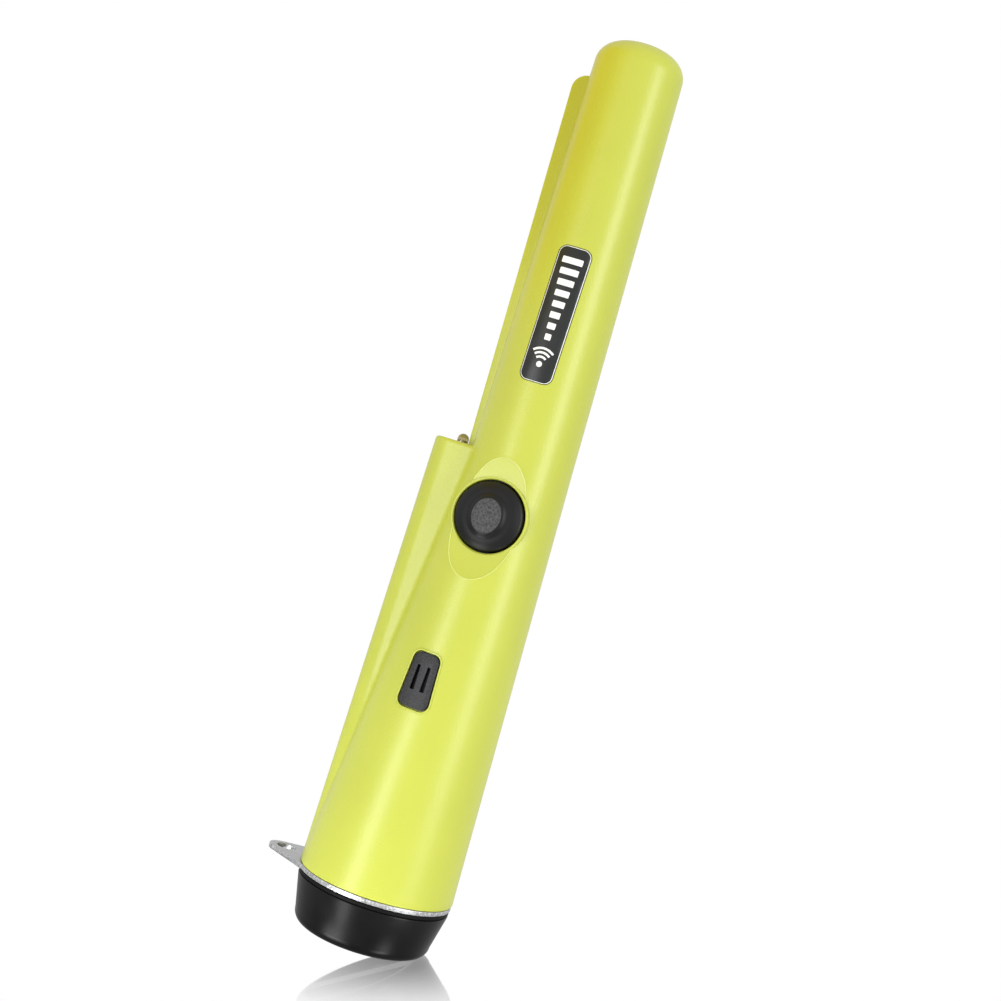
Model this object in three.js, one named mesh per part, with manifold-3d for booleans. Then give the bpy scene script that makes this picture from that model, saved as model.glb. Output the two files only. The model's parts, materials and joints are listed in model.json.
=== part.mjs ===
// Pinpointer probe: a handheld metal-detecting wand with a screw battery cap.
// Millimetres. +Z runs from the battery cap to the probe tip, the front (button, label, grille)
// faces -Y, and the lamp hump, the scraper fin and the lanyard lug are on -X.
// The origin is the centre of the battery cap's bottom bar.
import * as THREE from "three";
import { mergeVertices } from "three/addons/utils/BufferGeometryUtils.js";
import Module from "manifold-3d";

const wasm = await Module();
wasm.setup();

// ---------- driving dimensions ----------
const TOTAL_LENGTH = 240;
const TUBE_WALL = 2;
const HANDLE_WALL = 2.5; // at the open end, outside the thread
const WAIST_SHIFT = 2.7; // the body's centre line leans to +X at the waist
const TIP_SHIFT = 0.45;
const TIP_RADIUS = 11.7;
const TIP_DOME = 6.6;
const DOME_POWER = 0.72; // below 1 squares the dome's shoulder

const FIT = 0.3; // clearance between pieces that are cut to each other
const STACK = 0.1; // clearance between stacked flat faces

// 9 V block battery
const BATTERY_WIDTH = 26.2; // along X
const BATTERY_DEPTH = 17.2; // along Y
const BATTERY_LENGTH = 46.4;
const BATTERY_CORNER = 2.5;
const TERMINAL_SPACING = 12.7;
const TERMINAL_HEIGHT = 2.2;
const STUD_RADIUS = 2.85;
const SOCKET_RADIUS = 4.2;

// battery cap and its screw thread
const CAP_HEIGHT = 12.4;
const CAP_FLOOR = 5;
const CAP_DRAFT = 2;
const CAP_CORNER = 3.2;
const CAP_STEP = 0.3; // the cap's rim lies this far inside the housing's
const POCKET_DEPTH = 3;
const POCKET_MARGIN = 3.5;
const GRIP_BAR = 5;
const SPIGOT_WALL = 1.5;
const SPIGOT_ROOM = 0.37; // from the battery's corners
const THREAD_DEPTH = 1;
const THREAD_PITCH = 3;
const THREAD_TURNS = 2.75;
const RIDGE_BASE = 1.3;
const RIDGE_CREST = 0.8;
const PAD_THICKNESS = 1.8;
const PAD_RADIUS = 10.5;

// lanyard ring and gasket
const GASKET_THICKNESS = 1;
const RING_THICKNESS = 1.2;
const LUG_REACH = 10.4;
const LUG_TIP_RADIUS = 4.5;
const LUG_ROOT = 24;
const LANYARD_HOLE_RADIUS = 2.6;

// bulkhead with the battery's contacts
const BLOCK_THICKNESS = 4;

// grille and buzzer, along the front
const GRILLE_HEIGHT = 14.1;
const GRILLE_WIDTH = 8.2;
const GRILLE_TOP_WIDTH = 7;
const GRILLE_THICKNESS = 1;
const GRILLE_CORNER = 1.9;
const GRILLE_X = -0.5;
const SLOT_LENGTH = 6.4;
const SLOT_WIDTH = 1.1;
const SLOT_SPACING = 2.8;
const SLOT_RISE = 0.6; // of the slots' middle above the grille's
const PORT_RADIUS = 2.4;
const BUZZER_RADIUS = 7;
const BUZZER_DEPTH = 5;
const BUZZER_WALL = 1;
const FELT_RADIUS = 3.6;
const FELT_THICKNESS = 0.7;

// power button in its thumb scoop
const BUTTON_RADIUS = 9;
const BUTTON_SIDE_ROOM = 4.3; // from the button's edge to the housing's side at the waist
const BUTTON_CROWN = 2.6;
const BUTTON_PAD_HALF_WIDTH = 3.8;
const BUTTON_PAD_HALF_HEIGHT = 4.6;
const BUTTON_PAD_LIFT = 0.5;
const BUTTON_FLANGE = 0.6; // how far the flange passes the bore
const BUTTON_TRAVEL = 0.8;
const FLANGE_THICKNESS = 0.9;
const SCOOP_DEPTH = 2.8;
const SCOOP_LENGTH = 32;
const SCOOP_RISE = 2.1; // of its deepest line above the button's centre
const COLLAR_WALL = 0.9;
const COLLAR_HEIGHT = 0.9;
const PANEL_WALL = 3; // behind the scoop, round the button
const RETAINER_THICKNESS = 1;
const STEM_RADIUS = 2.4;
const GRILLE_TO_BUTTON = 44;
const BUTTON_TO_HUMP_TOP = 15.8;

// lamp hump
const HUMP_HALF_WIDTH = 7.5;
const HUMP_CORNER = 5;
const LAMP_RADIUS = 1.5;
const LAMP_HEIGHT = 2.4; // above the hump's top face
const LAMP_FLANGE = 0.4;
const LAMP_FLANGE_THICKNESS = 1;
const HOLDER_WALL = 1;
const LAMP_BODY = 3;
const LAMP_TO_FIN = 0.6;
const LEAD_RADIUS = 0.3;
const LEAD_SPACING = 2.54;

// scraper fin
const FIN_THICKNESS = 3;
const FIN_ROOT_HEIGHT = 1.5;
const FIN_TOP_HEIGHT = 4.05;
const FIN_CORNER = 3.8;
const FIN_BELOW_TIP = 10.7;

// label panel
const LABEL_HEIGHT = 35;
const LABEL_WIDTH = 8.3;
const LABEL_CORNER = 2;
const LABEL_THICKNESS = 0.6;
const LABEL_ABOVE_HUMP = 37.2;

// sensing coil
const COIL_LENGTH = 58;
const COIL_BELOW_TIP = 9;
const ROD_RADIUS = 4;
const BOBBIN_WALL = 1;
const BOBBIN_FLANGE = 2;
const WINDING_DEPTH = 2.6;
const CUSHION_THICKNESS = 2;

// board, its chassis and what it carries
const BOARD_THICKNESS = 1.6;
const BOARD_FRONT_Y = -1;
const BOARD_X = 1.6;
const CHASSIS_THICKNESS = 1.6;
const CHASSIS_DISC = 3;
const SWITCH_SIDE = 6;
const SWITCH_HEIGHT = 3.5;
const PLUNGER_RADIUS = 1.6;
const SCREW_RADIUS = 1;
const SCREW_HEAD_RADIUS = 1.9;
const SCREW_HEAD = 1.1;
const MOTOR_RADIUS = 3.5;
const MOTOR_LENGTH = 12;
const SHAFT_RADIUS = 0.5;
const SHAFT_OUT = 5;
const WEIGHT_RADIUS = 3;
const WEIGHT_LENGTH = 3.6;
const WIRE_RADIUS = 0.8;

const ROUND = 48; // facets round the body
const SMALL_ROUND = 16;

// ---------- derived dimensions ----------
const gasketZ = CAP_HEIGHT + STACK;
const ringZ = gasketZ + GASKET_THICKNESS + STACK;
const footZ = ringZ + RING_THICKNESS + STACK;
const batteryReach =
  Math.hypot(BATTERY_WIDTH / 2 - BATTERY_CORNER, BATTERY_DEPTH / 2 - BATTERY_CORNER) + BATTERY_CORNER;
const spigotInner = batteryReach + SPIGOT_ROOM;
const spigotOuter = spigotInner + SPIGOT_WALL;
const threadCrest = spigotOuter + THREAD_DEPTH;
const boreRadius = threadCrest + FIT;
const boreCrest = spigotOuter + FIT;
const baseRadius = boreRadius + HANDLE_WALL;
const threadLength = THREAD_TURNS * THREAD_PITCH;
const spigotTop = footZ + threadLength + THREAD_PITCH / 2;
const boreTop = spigotTop + 1;
const padZ = CAP_FLOOR + STACK;
const batteryZ = padZ + PAD_THICKNESS + STACK;
const batteryTop = batteryZ + BATTERY_LENGTH;
const blockZ = batteryTop + TERMINAL_HEIGHT + 2 * FIT;
const blockTop = blockZ + BLOCK_THICKNESS;
const grilleZ = blockTop + BUZZER_RADIUS + 2.2;
const buttonZ = grilleZ + GRILLE_TO_BUTTON;
const waistZ = buttonZ + BUTTON_TO_HUMP_TOP;
const waistRadius = BUTTON_RADIUS + BUTTON_SIDE_ROOM;
const domeZ = TOTAL_LENGTH - TIP_DOME;
const labelZ = Math.min(waistZ + LABEL_ABOVE_HUMP, (waistZ + domeZ) / 2);
const coilTop = TOTAL_LENGTH - COIL_BELOW_TIP;
const coilZ = coilTop - COIL_LENGTH;
const chassisDiscZ = coilZ - CHASSIS_DISC - FIT;
const boardTop = chassisDiscZ - FIT;
const boardZ = blockTop + 3;
const buttonX = centreX(buttonZ);

const radians = THREE.MathUtils.degToRad;
const lerp = THREE.MathUtils.lerp;

// The body's outer radius and the place of its leaning centre line at a height.
function outerRadius(z) {
  if (z < waistZ) return lerp(baseRadius, waistRadius, (z - footZ) / (waistZ - footZ));
  return lerp(waistRadius, TIP_RADIUS, (z - waistZ) / (domeZ - waistZ));
}

function innerRadius(z) {
  return outerRadius(z) - TUBE_WALL;
}

function centreX(z) {
  if (z < waistZ) return WAIST_SHIFT * Math.max(0, (z - footZ) / (waistZ - footZ));
  return lerp(WAIST_SHIFT, TIP_SHIFT, (z - waistZ) / (TOTAL_LENGTH - waistZ));
}

// ---------- solids ----------
// A closed manifold solid from a three.js geometry, with its faces pointing out.
function solid(geometry) {
  const bare = geometry.clone();
  bare.deleteAttribute("normal");
  bare.deleteAttribute("uv");
  const merged = mergeVertices(bare, 1e-4);
  const corners = merged.attributes.position.array;
  const source = merged.index.array;
  const triangles = [];
  let volume = 0;
  const [a, b, c] = [new THREE.Vector3(), new THREE.Vector3(), new THREE.Vector3()];
  for (let i = 0; i < source.length; i += 3) {
    const [p, q, r] = [source[i], source[i + 1], source[i + 2]];
    if (p === q || q === r || p === r) continue;
    triangles.push(p, q, r);
    a.fromArray(corners, 3 * p);
    volume += a.dot(b.fromArray(corners, 3 * q).cross(c.fromArray(corners, 3 * r)));
  }
  if (volume < 0) triangles.reverse();
  return new wasm.Manifold(
    new wasm.Mesh({ numProp: 3, vertProperties: corners, triVerts: Uint32Array.from(triangles) })
  );
}

function geometryOf(manifold) {
  const { vertProperties, triVerts } = manifold.getMesh();
  const geometry = new THREE.BufferGeometry();
  geometry.setAttribute("position", new THREE.BufferAttribute(vertProperties, 3));
  geometry.setIndex(new THREE.BufferAttribute(triVerts, 1));
  geometry.computeVertexNormals();
  return geometry;
}

// A profile of [radius, z] points turned about the Z axis.
function turned(profile, segments = SMALL_ROUND) {
  const points = profile.map(([radius, z]) => new THREE.Vector2(radius, z));
  return solid(new THREE.LatheGeometry(points, segments).rotateX(Math.PI / 2));
}

function rod(radius, z0, z1, segments = SMALL_ROUND) {
  return turned([[0, z0], [radius, z0], [radius, z1], [0, z1]], segments);
}

function tube(inner, outer, z0, z1, segments = SMALL_ROUND) {
  return turned([[inner, z0], [outer, z0], [outer, z1], [inner, z1], [inner, z0]], segments);
}

// The same, lying along Y: profile heights run out of the front of the body.
function frontTurned(profile, x, z, segments = SMALL_ROUND) {
  return turned(profile, segments).rotate([90, 0, 0]).translate([x, 0, z]);
}

function frontRod(radius, yFront, yBack, x, z, segments = SMALL_ROUND) {
  return frontTurned([[0, -yBack], [radius, -yBack], [radius, -yFront], [0, -yFront]], x, z, segments);
}

function block(x0, x1, y0, y1, z0, z1) {
  const box = new THREE.BoxGeometry(x1 - x0, y1 - y0, z1 - z0);
  return solid(box.translate((x0 + x1) / 2, (y0 + y1) / 2, (z0 + z1) / 2));
}

function upright(shape, z0, z1, curveSegments = 4) {
  const options = { depth: z1 - z0, bevelEnabled: false, curveSegments };
  return solid(new THREE.ExtrudeGeometry(shape, options).translate(0, 0, z0));
}

// A shape drawn in X and Z, run through the front wall.
function frontPrism(shape, yFront, yBack, curveSegments = 4) {
  const options = { depth: yBack - yFront, bevelEnabled: false, curveSegments };
  return solid(new THREE.ExtrudeGeometry(shape, options).rotateX(Math.PI / 2).translate(0, yBack, 0));
}

function roundedBox(x0, x1, y0, y1, corner) {
  const shape = new THREE.Shape();
  shape.absarc(x1 - corner, y1 - corner, corner, 0, Math.PI / 2);
  shape.absarc(x0 + corner, y1 - corner, corner, Math.PI / 2, Math.PI);
  shape.absarc(x0 + corner, y0 + corner, corner, Math.PI, 1.5 * Math.PI);
  shape.absarc(x1 - corner, y0 + corner, corner, 1.5 * Math.PI, 2 * Math.PI);
  shape.closePath();
  return shape;
}

// The body's envelope, moved in by an offset, between two heights; the dome closes the tip.
function envelope(inset, segments = ROUND) {
  const apex = TOTAL_LENGTH - inset;
  const profile = [[0, footZ], [baseRadius - inset, footZ], [waistRadius - inset, waistZ]];
  const domeSteps = 6;
  for (let i = 0; i <= domeSteps; i++) {
    const turn = (Math.PI / 2) * (i / domeSteps);
    const radius = (TIP_RADIUS - inset) * Math.pow(Math.cos(turn), DOME_POWER);
    profile.push([i === domeSteps ? 0 : radius, domeZ + (apex - domeZ) * Math.sin(turn)]);
  }
  return turned(profile, segments).warp((v) => {
    v[0] += centreX(v[2]);
  });
}

// A right-handed helical ridge whose crest points out of, or into, a wall.
function threadRidge(wallRadius, crestRadius, z0, turns, phase) {
  const perTurn = 24;
  const steps = Math.round(turns * perTurn);
  const sink = 0.3 * Math.sign(wallRadius - crestRadius);
  const section = [
    [wallRadius + sink, -RIDGE_BASE / 2],
    [crestRadius, -RIDGE_CREST / 2],
    [crestRadius, RIDGE_CREST / 2],
    [wallRadius + sink, RIDGE_BASE / 2],
  ];
  const corners = [];
  const faces = [];
  for (let i = 0; i <= steps; i++) {
    const turn = (2 * Math.PI * i) / perTurn + phase;
    const z = z0 + (THREAD_PITCH * i) / perTurn;
    for (const [radius, dz] of section) {
      corners.push(radius * Math.cos(turn), radius * Math.sin(turn), z + dz);
    }
    for (let k = 0; k < 4 && i < steps; k++) {
      const [a, b] = [4 * i + k, 4 * i + ((k + 1) % 4)];
      faces.push(a, b, b + 4, a, b + 4, a + 4);
    }
  }
  const last = 4 * steps;
  faces.push(0, 2, 1, 0, 3, 2, last, last + 1, last + 2, last, last + 2, last + 3);
  const geometry = new THREE.BufferGeometry();
  geometry.setAttribute("position", new THREE.Float32BufferAttribute(corners, 3));
  geometry.setIndex(faces);
  return solid(geometry);
}

function wire(points, radius, steps) {
  const shape = new THREE.Shape().absarc(0, 0, radius, 0, 2 * Math.PI);
  const extrudePath = new THREE.CatmullRomCurve3(points.map((p) => new THREE.Vector3(...p)));
  return solid(new THREE.ExtrudeGeometry(shape, { steps, curveSegments: 4, bevelEnabled: false, extrudePath }));
}

// ---------- the assembly ----------
const group = new THREE.Group();

const LIME = { color: 0xd6e06e, roughness: 0.42, metalness: 0 };
const BLACK = { color: 0x2a2a2b, roughness: 0.55, metalness: 0 };
const RUBBER = { color: 0x202022, roughness: 0.75, metalness: 0 };
const GREY = { color: 0x6c6e6c, roughness: 0.6, metalness: 0 };
const STEEL = { color: 0xc4c6c8, roughness: 0.28, metalness: 1 };
const COPPER = { color: 0xb06a34, roughness: 0.35, metalness: 1 };
const BOARD = { color: 0x1f6b3a, roughness: 0.5, metalness: 0 };
const FERRITE = { color: 0x3a3a3e, roughness: 0.8, metalness: 0 };
const FOAM = { color: 0x4a4a4c, roughness: 0.95, metalness: 0 };
const NATURAL = { color: 0xe4e1d6, roughness: 0.5, metalness: 0 };
const CLEAR = { color: 0xd8d4b0, roughness: 0.1, metalness: 0 };
const JACKET = { color: 0x31548c, roughness: 0.35, metalness: 0.2 };
const RED = { color: 0xb3261e, roughness: 0.5, metalness: 0 };

function add(name, manifold, look) {
  const mesh = new THREE.Mesh(geometryOf(manifold), new THREE.MeshStandardMaterial(look));
  mesh.name = name;
  group.add(mesh);
}

// ---------- housing ----------
const grilleOutline = (grow) => trapezoid(GRILLE_X, grilleZ, GRILLE_TOP_WIDTH, GRILLE_WIDTH, GRILLE_HEIGHT, grow);
const labelX = centreX(labelZ) + 0.8;

// A rounded trapezoid, wider at the bottom, in X and Z.
function trapezoid(x, z, topWidth, bottomWidth, height, grow) {
  const corner = GRILLE_CORNER + grow;
  const [top, bottom, half] = [topWidth / 2 + grow, bottomWidth / 2 + grow, height / 2 + grow];
  const shape = new THREE.Shape();
  shape.absarc(x + top - corner, z + half - corner, corner, 0, Math.PI / 2);
  shape.absarc(x - top + corner, z + half - corner, corner, Math.PI / 2, Math.PI);
  shape.absarc(x - bottom + corner, z - half + corner, corner, Math.PI, 1.5 * Math.PI);
  shape.absarc(x + bottom - corner, z - half + corner, corner, 1.5 * Math.PI, 2 * Math.PI);
  shape.closePath();
  return shape;
}

function labelOutline(grow) {
  const [halfWidth, halfHeight] = [LABEL_WIDTH / 2 + grow, LABEL_HEIGHT / 2 + grow];
  const corner = LABEL_CORNER + grow;
  return roundedBox(labelX - halfWidth, labelX + halfWidth, labelZ - halfHeight, labelZ + halfHeight, corner);
}

function batteryOutline(grow) {
  const [halfWidth, halfDepth] = [BATTERY_WIDTH / 2 + grow, BATTERY_DEPTH / 2 + grow];
  return roundedBox(-halfWidth, halfWidth, -halfDepth, halfDepth, BATTERY_CORNER + grow);
}

const buttonFrontY = -outerRadius(buttonZ);
const scoopFloorY = buttonFrontY + SCOOP_DEPTH;
const scoopRadius = (SCOOP_LENGTH ** 2 / 4 + SCOOP_DEPTH ** 2) / (2 * SCOOP_DEPTH);
const collarY = scoopFloorY - COLLAR_HEIGHT;
const panelInnerY = scoopFloorY + PANEL_WALL;
const flangeRadius = BUTTON_RADIUS + BUTTON_FLANGE;

// The thumb scoop is a long cylinder lying along X, in front of the button.
function scoop(inset) {
  const cylinder = rod(scoopRadius + inset, -3 * baseRadius, 3 * baseRadius, 90);
  return cylinder.rotate([0, 90, 0]).translate([0, scoopFloorY - scoopRadius, buttonZ + SCOOP_RISE]);
}

function hump(inset) {
  const top = waistZ - inset;
  const foot = inset > 0 ? blockTop : footZ;
  const [outer, half] = [-baseRadius + inset, HUMP_HALF_WIDTH - inset];
  return upright(roundedBox(outer, 0, -half, half, HUMP_CORNER - inset), foot, top);
}

function fin() {
  const topZ = TOTAL_LENGTH - FIN_BELOW_TIP;
  const edge = (z, height) => centreX(z) - outerRadius(z) - height;
  const [rootX, topX] = [edge(waistZ, FIN_ROOT_HEIGHT), edge(topZ, FIN_TOP_HEIGHT)];
  const shape = new THREE.Shape();
  shape.moveTo(0, waistZ - 6);
  shape.lineTo(0, topZ);
  shape.lineTo(topX + FIN_CORNER, topZ);
  shape.absarc(topX + FIN_CORNER, topZ - FIN_CORNER, FIN_CORNER, Math.PI / 2, Math.PI);
  shape.lineTo(rootX, waistZ - 6);
  shape.closePath();
  return frontPrism(shape, -FIN_THICKNESS / 2, FIN_THICKNESS / 2);
}

function cavity() {
  const panel = scoop(PANEL_WALL);
  const bay = envelope(TUBE_WALL).subtract(panel);
  const bore = rod(boreRadius, footZ - 1, boreTop, ROUND);
  const flangePocket = frontRod(flangeRadius + FIT, panelInnerY, 0, buttonX, buttonZ, 36);
  const batteryBay = upright(batteryOutline(FIT), footZ, blockZ);
  return bay.add(hump(TUBE_WALL)).add(bore).add(flangePocket).add(batteryBay);
}

const lampX = WAIST_SHIFT - waistRadius - FIN_ROOT_HEIGHT - LAMP_TO_FIN - LAMP_RADIUS;
const lampFlangeZ = waistZ - TUBE_WALL - STACK;
const lampFootZ = lampFlangeZ - LAMP_FLANGE_THICKNESS - STACK;
const portDepth = outerRadius(grilleZ) + 1;

function housing() {
  const far = -3 * baseRadius;
  let shell = envelope(0).add(hump(0)).add(fin());
  shell = shell.subtract(scoop(0));
  const collar = frontRod(BUTTON_RADIUS + FIT / 2 + COLLAR_WALL, collarY, panelInnerY, buttonX, buttonZ, 36);
  shell = shell.add(collar).subtract(cavity());
  const buttonBore = frontRod(BUTTON_RADIUS + FIT / 2, far, panelInnerY + 1, buttonX, buttonZ, 36);
  const grilleSeat = frontPrism(grilleOutline(FIT), far, 0).subtract(envelope(GRILLE_THICKNESS + FIT));
  const labelSeat = frontPrism(labelOutline(FIT), far, 0).subtract(envelope(LABEL_THICKNESS + FIT));
  const port = frontRod(PORT_RADIUS, -portDepth, 0, GRILLE_X, grilleZ);
  const lampHole = rod(LAMP_RADIUS + FIT / 2, waistZ - TUBE_WALL - 1, waistZ + 1).translate([lampX, 0, 0]);
  const holderRadius = LAMP_RADIUS + HOLDER_WALL + FIT;
  const holderRoom = rod(holderRadius, lampFootZ - LAMP_BODY - FIT, waistZ - TUBE_WALL).translate([lampX, 0, 0]);
  for (const cut of [buttonBore, grilleSeat, labelSeat, port, lampHole, holderRoom]) {
    shell = shell.subtract(cut);
  }
  const ridge = threadRidge(boreRadius, boreCrest, footZ + 1, THREAD_TURNS - 0.4, Math.PI);
  return shell.add(ridge);
}
add("probe_housing", housing(), LIME);

// ---------- grille, label and lamp ----------
function skin(outline, thickness) {
  const far = -3 * baseRadius;
  return frontPrism(outline, far, 0).intersect(envelope(0)).subtract(envelope(thickness));
}

function grille() {
  let plate = skin(grilleOutline(0), GRILLE_THICKNESS);
  for (const side of [-1, 1]) {
    const x = GRILLE_X + (side * SLOT_SPACING) / 2;
    const z = grilleZ + SLOT_RISE;
    const slot = roundedBox(
      x - SLOT_WIDTH / 2, x + SLOT_WIDTH / 2, z - SLOT_LENGTH / 2, z + SLOT_LENGTH / 2,
      SLOT_WIDTH / 2 - 0.01
    );
    plate = plate.subtract(frontPrism(slot, -2 * baseRadius, 0));
  }
  return plate;
}
add("speaker_grille", grille(), GREY);
add("label_panel", skin(labelOutline(0), LABEL_THICKNESS), BLACK);

function lamp() {
  const shoulder = waistZ + LAMP_HEIGHT - LAMP_RADIUS;
  const profile = [
    [0, lampFlangeZ - LAMP_FLANGE_THICKNESS], [LAMP_RADIUS + LAMP_FLANGE, lampFlangeZ - LAMP_FLANGE_THICKNESS],
    [LAMP_RADIUS + LAMP_FLANGE, lampFlangeZ], [LAMP_RADIUS, lampFlangeZ], [LAMP_RADIUS, shoulder],
  ];
  for (let i = 1; i <= 4; i++) {
    const turn = (Math.PI / 8) * i;
    profile.push([i === 4 ? 0 : LAMP_RADIUS * Math.cos(turn), shoulder + LAMP_RADIUS * Math.sin(turn)]);
  }
  return turned(profile).translate([lampX, 0, 0]);
}
add("led_lens", lamp(), CLEAR);

add("led_holder", rod(LAMP_RADIUS + HOLDER_WALL, lampFootZ - LAMP_BODY, lampFootZ).translate([lampX, 0, 0]), BLACK);

const leadTopZ = lampFootZ - LAMP_BODY - STACK;
const boardHalfWidth = Math.min(innerRadius(boardTop) - 2.2, 9);
for (const [name, side] of [["led_lead_anode", -1], ["led_lead_cathode", 1]]) {
  const y = (side * LEAD_SPACING) / 2;
  const boardEdgeX = BOARD_X - boardHalfWidth - FIT - LEAD_RADIUS;
  const route = [
    [lampX, y, leadTopZ], [lampX, y, leadTopZ - 3], [boardEdgeX - 1, y, leadTopZ - 8],
    [boardEdgeX, y, leadTopZ - 11],
  ];
  add(name, wire(route, LEAD_RADIUS, 14), STEEL);
}

// ---------- lanyard ring and gasket ----------
function lanyardRing() {
  const rootTurn = Math.asin(LUG_ROOT / 2 / baseRadius);
  const lugX = -(baseRadius + LUG_REACH - LUG_TIP_RADIUS);
  const rootToTip = lugX + baseRadius * Math.cos(rootTurn);
  const tipTurn =
    Math.atan2(LUG_ROOT / 2, -rootToTip) + Math.acos(LUG_TIP_RADIUS / Math.hypot(rootToTip, LUG_ROOT / 2));
  const shape = new THREE.Shape();
  shape.absarc(0, 0, baseRadius, Math.PI - rootTurn, rootTurn - Math.PI, true);
  shape.absarc(lugX, 0, LUG_TIP_RADIUS, -tipTurn, tipTurn - 2 * Math.PI, true);
  shape.closePath();
  shape.holes.push(new THREE.Path().absarc(0, 0, boreRadius, 0, 2 * Math.PI));
  shape.holes.push(new THREE.Path().absarc(lugX, 0, LANYARD_HOLE_RADIUS, 0, 2 * Math.PI));
  return upright(shape, ringZ, ringZ + RING_THICKNESS, 28);
}
add("lanyard_ring", lanyardRing(), STEEL);
add("ring_gasket", tube(boreRadius, baseRadius - CAP_STEP, gasketZ, gasketZ + GASKET_THICKNESS, ROUND), RUBBER);

// ---------- battery cap ----------
function fingerPockets() {
  const radius = baseRadius - CAP_STEP - CAP_DRAFT - POCKET_MARGIN;
  return rod(radius, -1, POCKET_DEPTH, 32).subtract(
    block(-radius, radius, -GRIP_BAR / 2, GRIP_BAR / 2, -2, POCKET_DEPTH + 1)
  );
}

function batteryCap() {
  const rim = baseRadius - CAP_STEP;
  const profile = [[0, 0]];
  for (let i = 0; i <= 4; i++) {
    const turn = (Math.PI / 8) * i;
    profile.push([
      rim - CAP_DRAFT - CAP_CORNER + CAP_CORNER * Math.sin(turn), CAP_CORNER * (1 - Math.cos(turn)),
    ]);
  }
  profile.push([rim, CAP_HEIGHT], [spigotOuter, CAP_HEIGHT], [spigotOuter, spigotTop]);
  profile.push([spigotInner, spigotTop], [spigotInner, CAP_FLOOR], [0, CAP_FLOOR]);
  const ridge = threadRidge(spigotOuter, threadCrest, footZ + 1, THREAD_TURNS - 0.4, 0);
  return turned(profile, ROUND).subtract(fingerPockets()).add(ridge);
}
add("battery_cap", batteryCap(), BLACK);
add("cap_pad", rod(PAD_RADIUS, padZ, padZ + PAD_THICKNESS, 32), FOAM);

// ---------- battery and its contacts ----------
const terminalX = TERMINAL_SPACING / 2;
const terminalZ = batteryTop + STACK;
const terminalTop = terminalZ + TERMINAL_HEIGHT;
add("battery", upright(batteryOutline(0), batteryZ, batteryTop), JACKET);

function snapRing(x, z0, z1) {
  return tube(STUD_RADIUS + FIT, SOCKET_RADIUS, z0, z1).translate([x, 0, 0]);
}

function snapStud(x, z0, z1) {
  return rod(STUD_RADIUS, z0, z1).translate([x, 0, 0]);
}
add("battery_stud_terminal", snapStud(-terminalX, terminalZ, terminalTop), STEEL);
add("battery_socket_terminal", snapRing(terminalX, terminalZ, terminalTop), STEEL);
add("contact_socket", snapRing(-terminalX, terminalZ + FIT, blockZ - STACK), STEEL);
add("contact_stud", snapStud(terminalX, terminalZ + FIT, blockZ - STACK), STEEL);

function contactBlock() {
  const radius = innerRadius(blockTop) - FIT;
  const x = centreX(blockZ);
  let plate = rod(radius, blockZ, blockTop, 32).translate([x, 0, 0]);
  for (const side of [-1, 1]) {
    plate = plate.subtract(rod(WIRE_RADIUS + FIT, blockZ - 1, blockTop + 1).translate([side * terminalX, 5, 0]));
  }
  return plate;
}
add("contact_block", contactBlock(), NATURAL);

for (const [name, side, look] of [["battery_wire_red", -1, RED], ["battery_wire_black", 1, BLACK]]) {
  const [wireY, endX] = [5, BOARD_X + side * 5];
  const route = [
    [side * terminalX, wireY, blockZ + 0.5], [side * terminalX, wireY, blockTop + 2],
    [side * (terminalX - 1), wireY + 1, blockTop + 6], [endX, wireY - 0.5, blockTop + 11],
  ];
  add(name, wire(route, WIRE_RADIUS, 12), look);
}

// ---------- board, chassis and parts on the board ----------
const boardBackY = BOARD_FRONT_Y + BOARD_THICKNESS;
const chassisY = boardBackY + STACK;
const chassisBackY = chassisY + CHASSIS_THICKNESS;
const boardX0 = BOARD_X - boardHalfWidth;
const boardX1 = BOARD_X + boardHalfWidth;
const screwZs = [boardZ + 4, (boardZ + boardTop) / 2 + 3, boardTop - 5];
const screwX = BOARD_X + boardHalfWidth - 2.8;

function board() {
  let plate = block(boardX0, boardX1, BOARD_FRONT_Y, boardBackY, boardZ, boardTop);
  for (const z of screwZs) {
    plate = plate.subtract(frontRod(SCREW_RADIUS + FIT / 2, BOARD_FRONT_Y - 1, boardBackY + 1, screwX, z, 16));
  }
  return plate;
}
add("circuit_board", board(), BOARD);

function chassis() {
  const discRadius = innerRadius(chassisDiscZ + CHASSIS_DISC) - FIT;
  const disc = rod(discRadius, chassisDiscZ, chassisDiscZ + CHASSIS_DISC, 32).translate([centreX(chassisDiscZ), 0, 0]);
  const plate = block(boardX0, boardX1, chassisY, chassisBackY, blockTop + STACK, chassisDiscZ + 1);
  const foot = block(boardX0, boardX1, chassisY, chassisBackY + 1, blockTop + STACK, blockTop + 2);
  let frame = disc.add(plate).add(foot);
  for (const z of screwZs) {
    frame = frame.subtract(frontRod(SCREW_RADIUS + FIT / 2, chassisY - 1, chassisBackY + 1, screwX, z, 16));
  }
  return frame.subtract(rod(STEM_RADIUS, chassisDiscZ - 1, coilZ).translate([centreX(coilZ), -5, 0]));
}
add("chassis_rail", chassis(), NATURAL);

screwZs.forEach((z, i) => {
  const profile = [
    [0, -chassisBackY], [SCREW_RADIUS, -chassisBackY], [SCREW_RADIUS, STACK - BOARD_FRONT_Y],
    [SCREW_HEAD_RADIUS, STACK - BOARD_FRONT_Y], [SCREW_HEAD_RADIUS, STACK - BOARD_FRONT_Y + SCREW_HEAD * 0.6],
    [SCREW_HEAD_RADIUS * 0.7, STACK - BOARD_FRONT_Y + SCREW_HEAD], [0, STACK - BOARD_FRONT_Y + SCREW_HEAD],
  ];
  add(`chassis_screw_${i + 1}`, frontTurned(profile, screwX, z, 16), STEEL);
});

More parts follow.
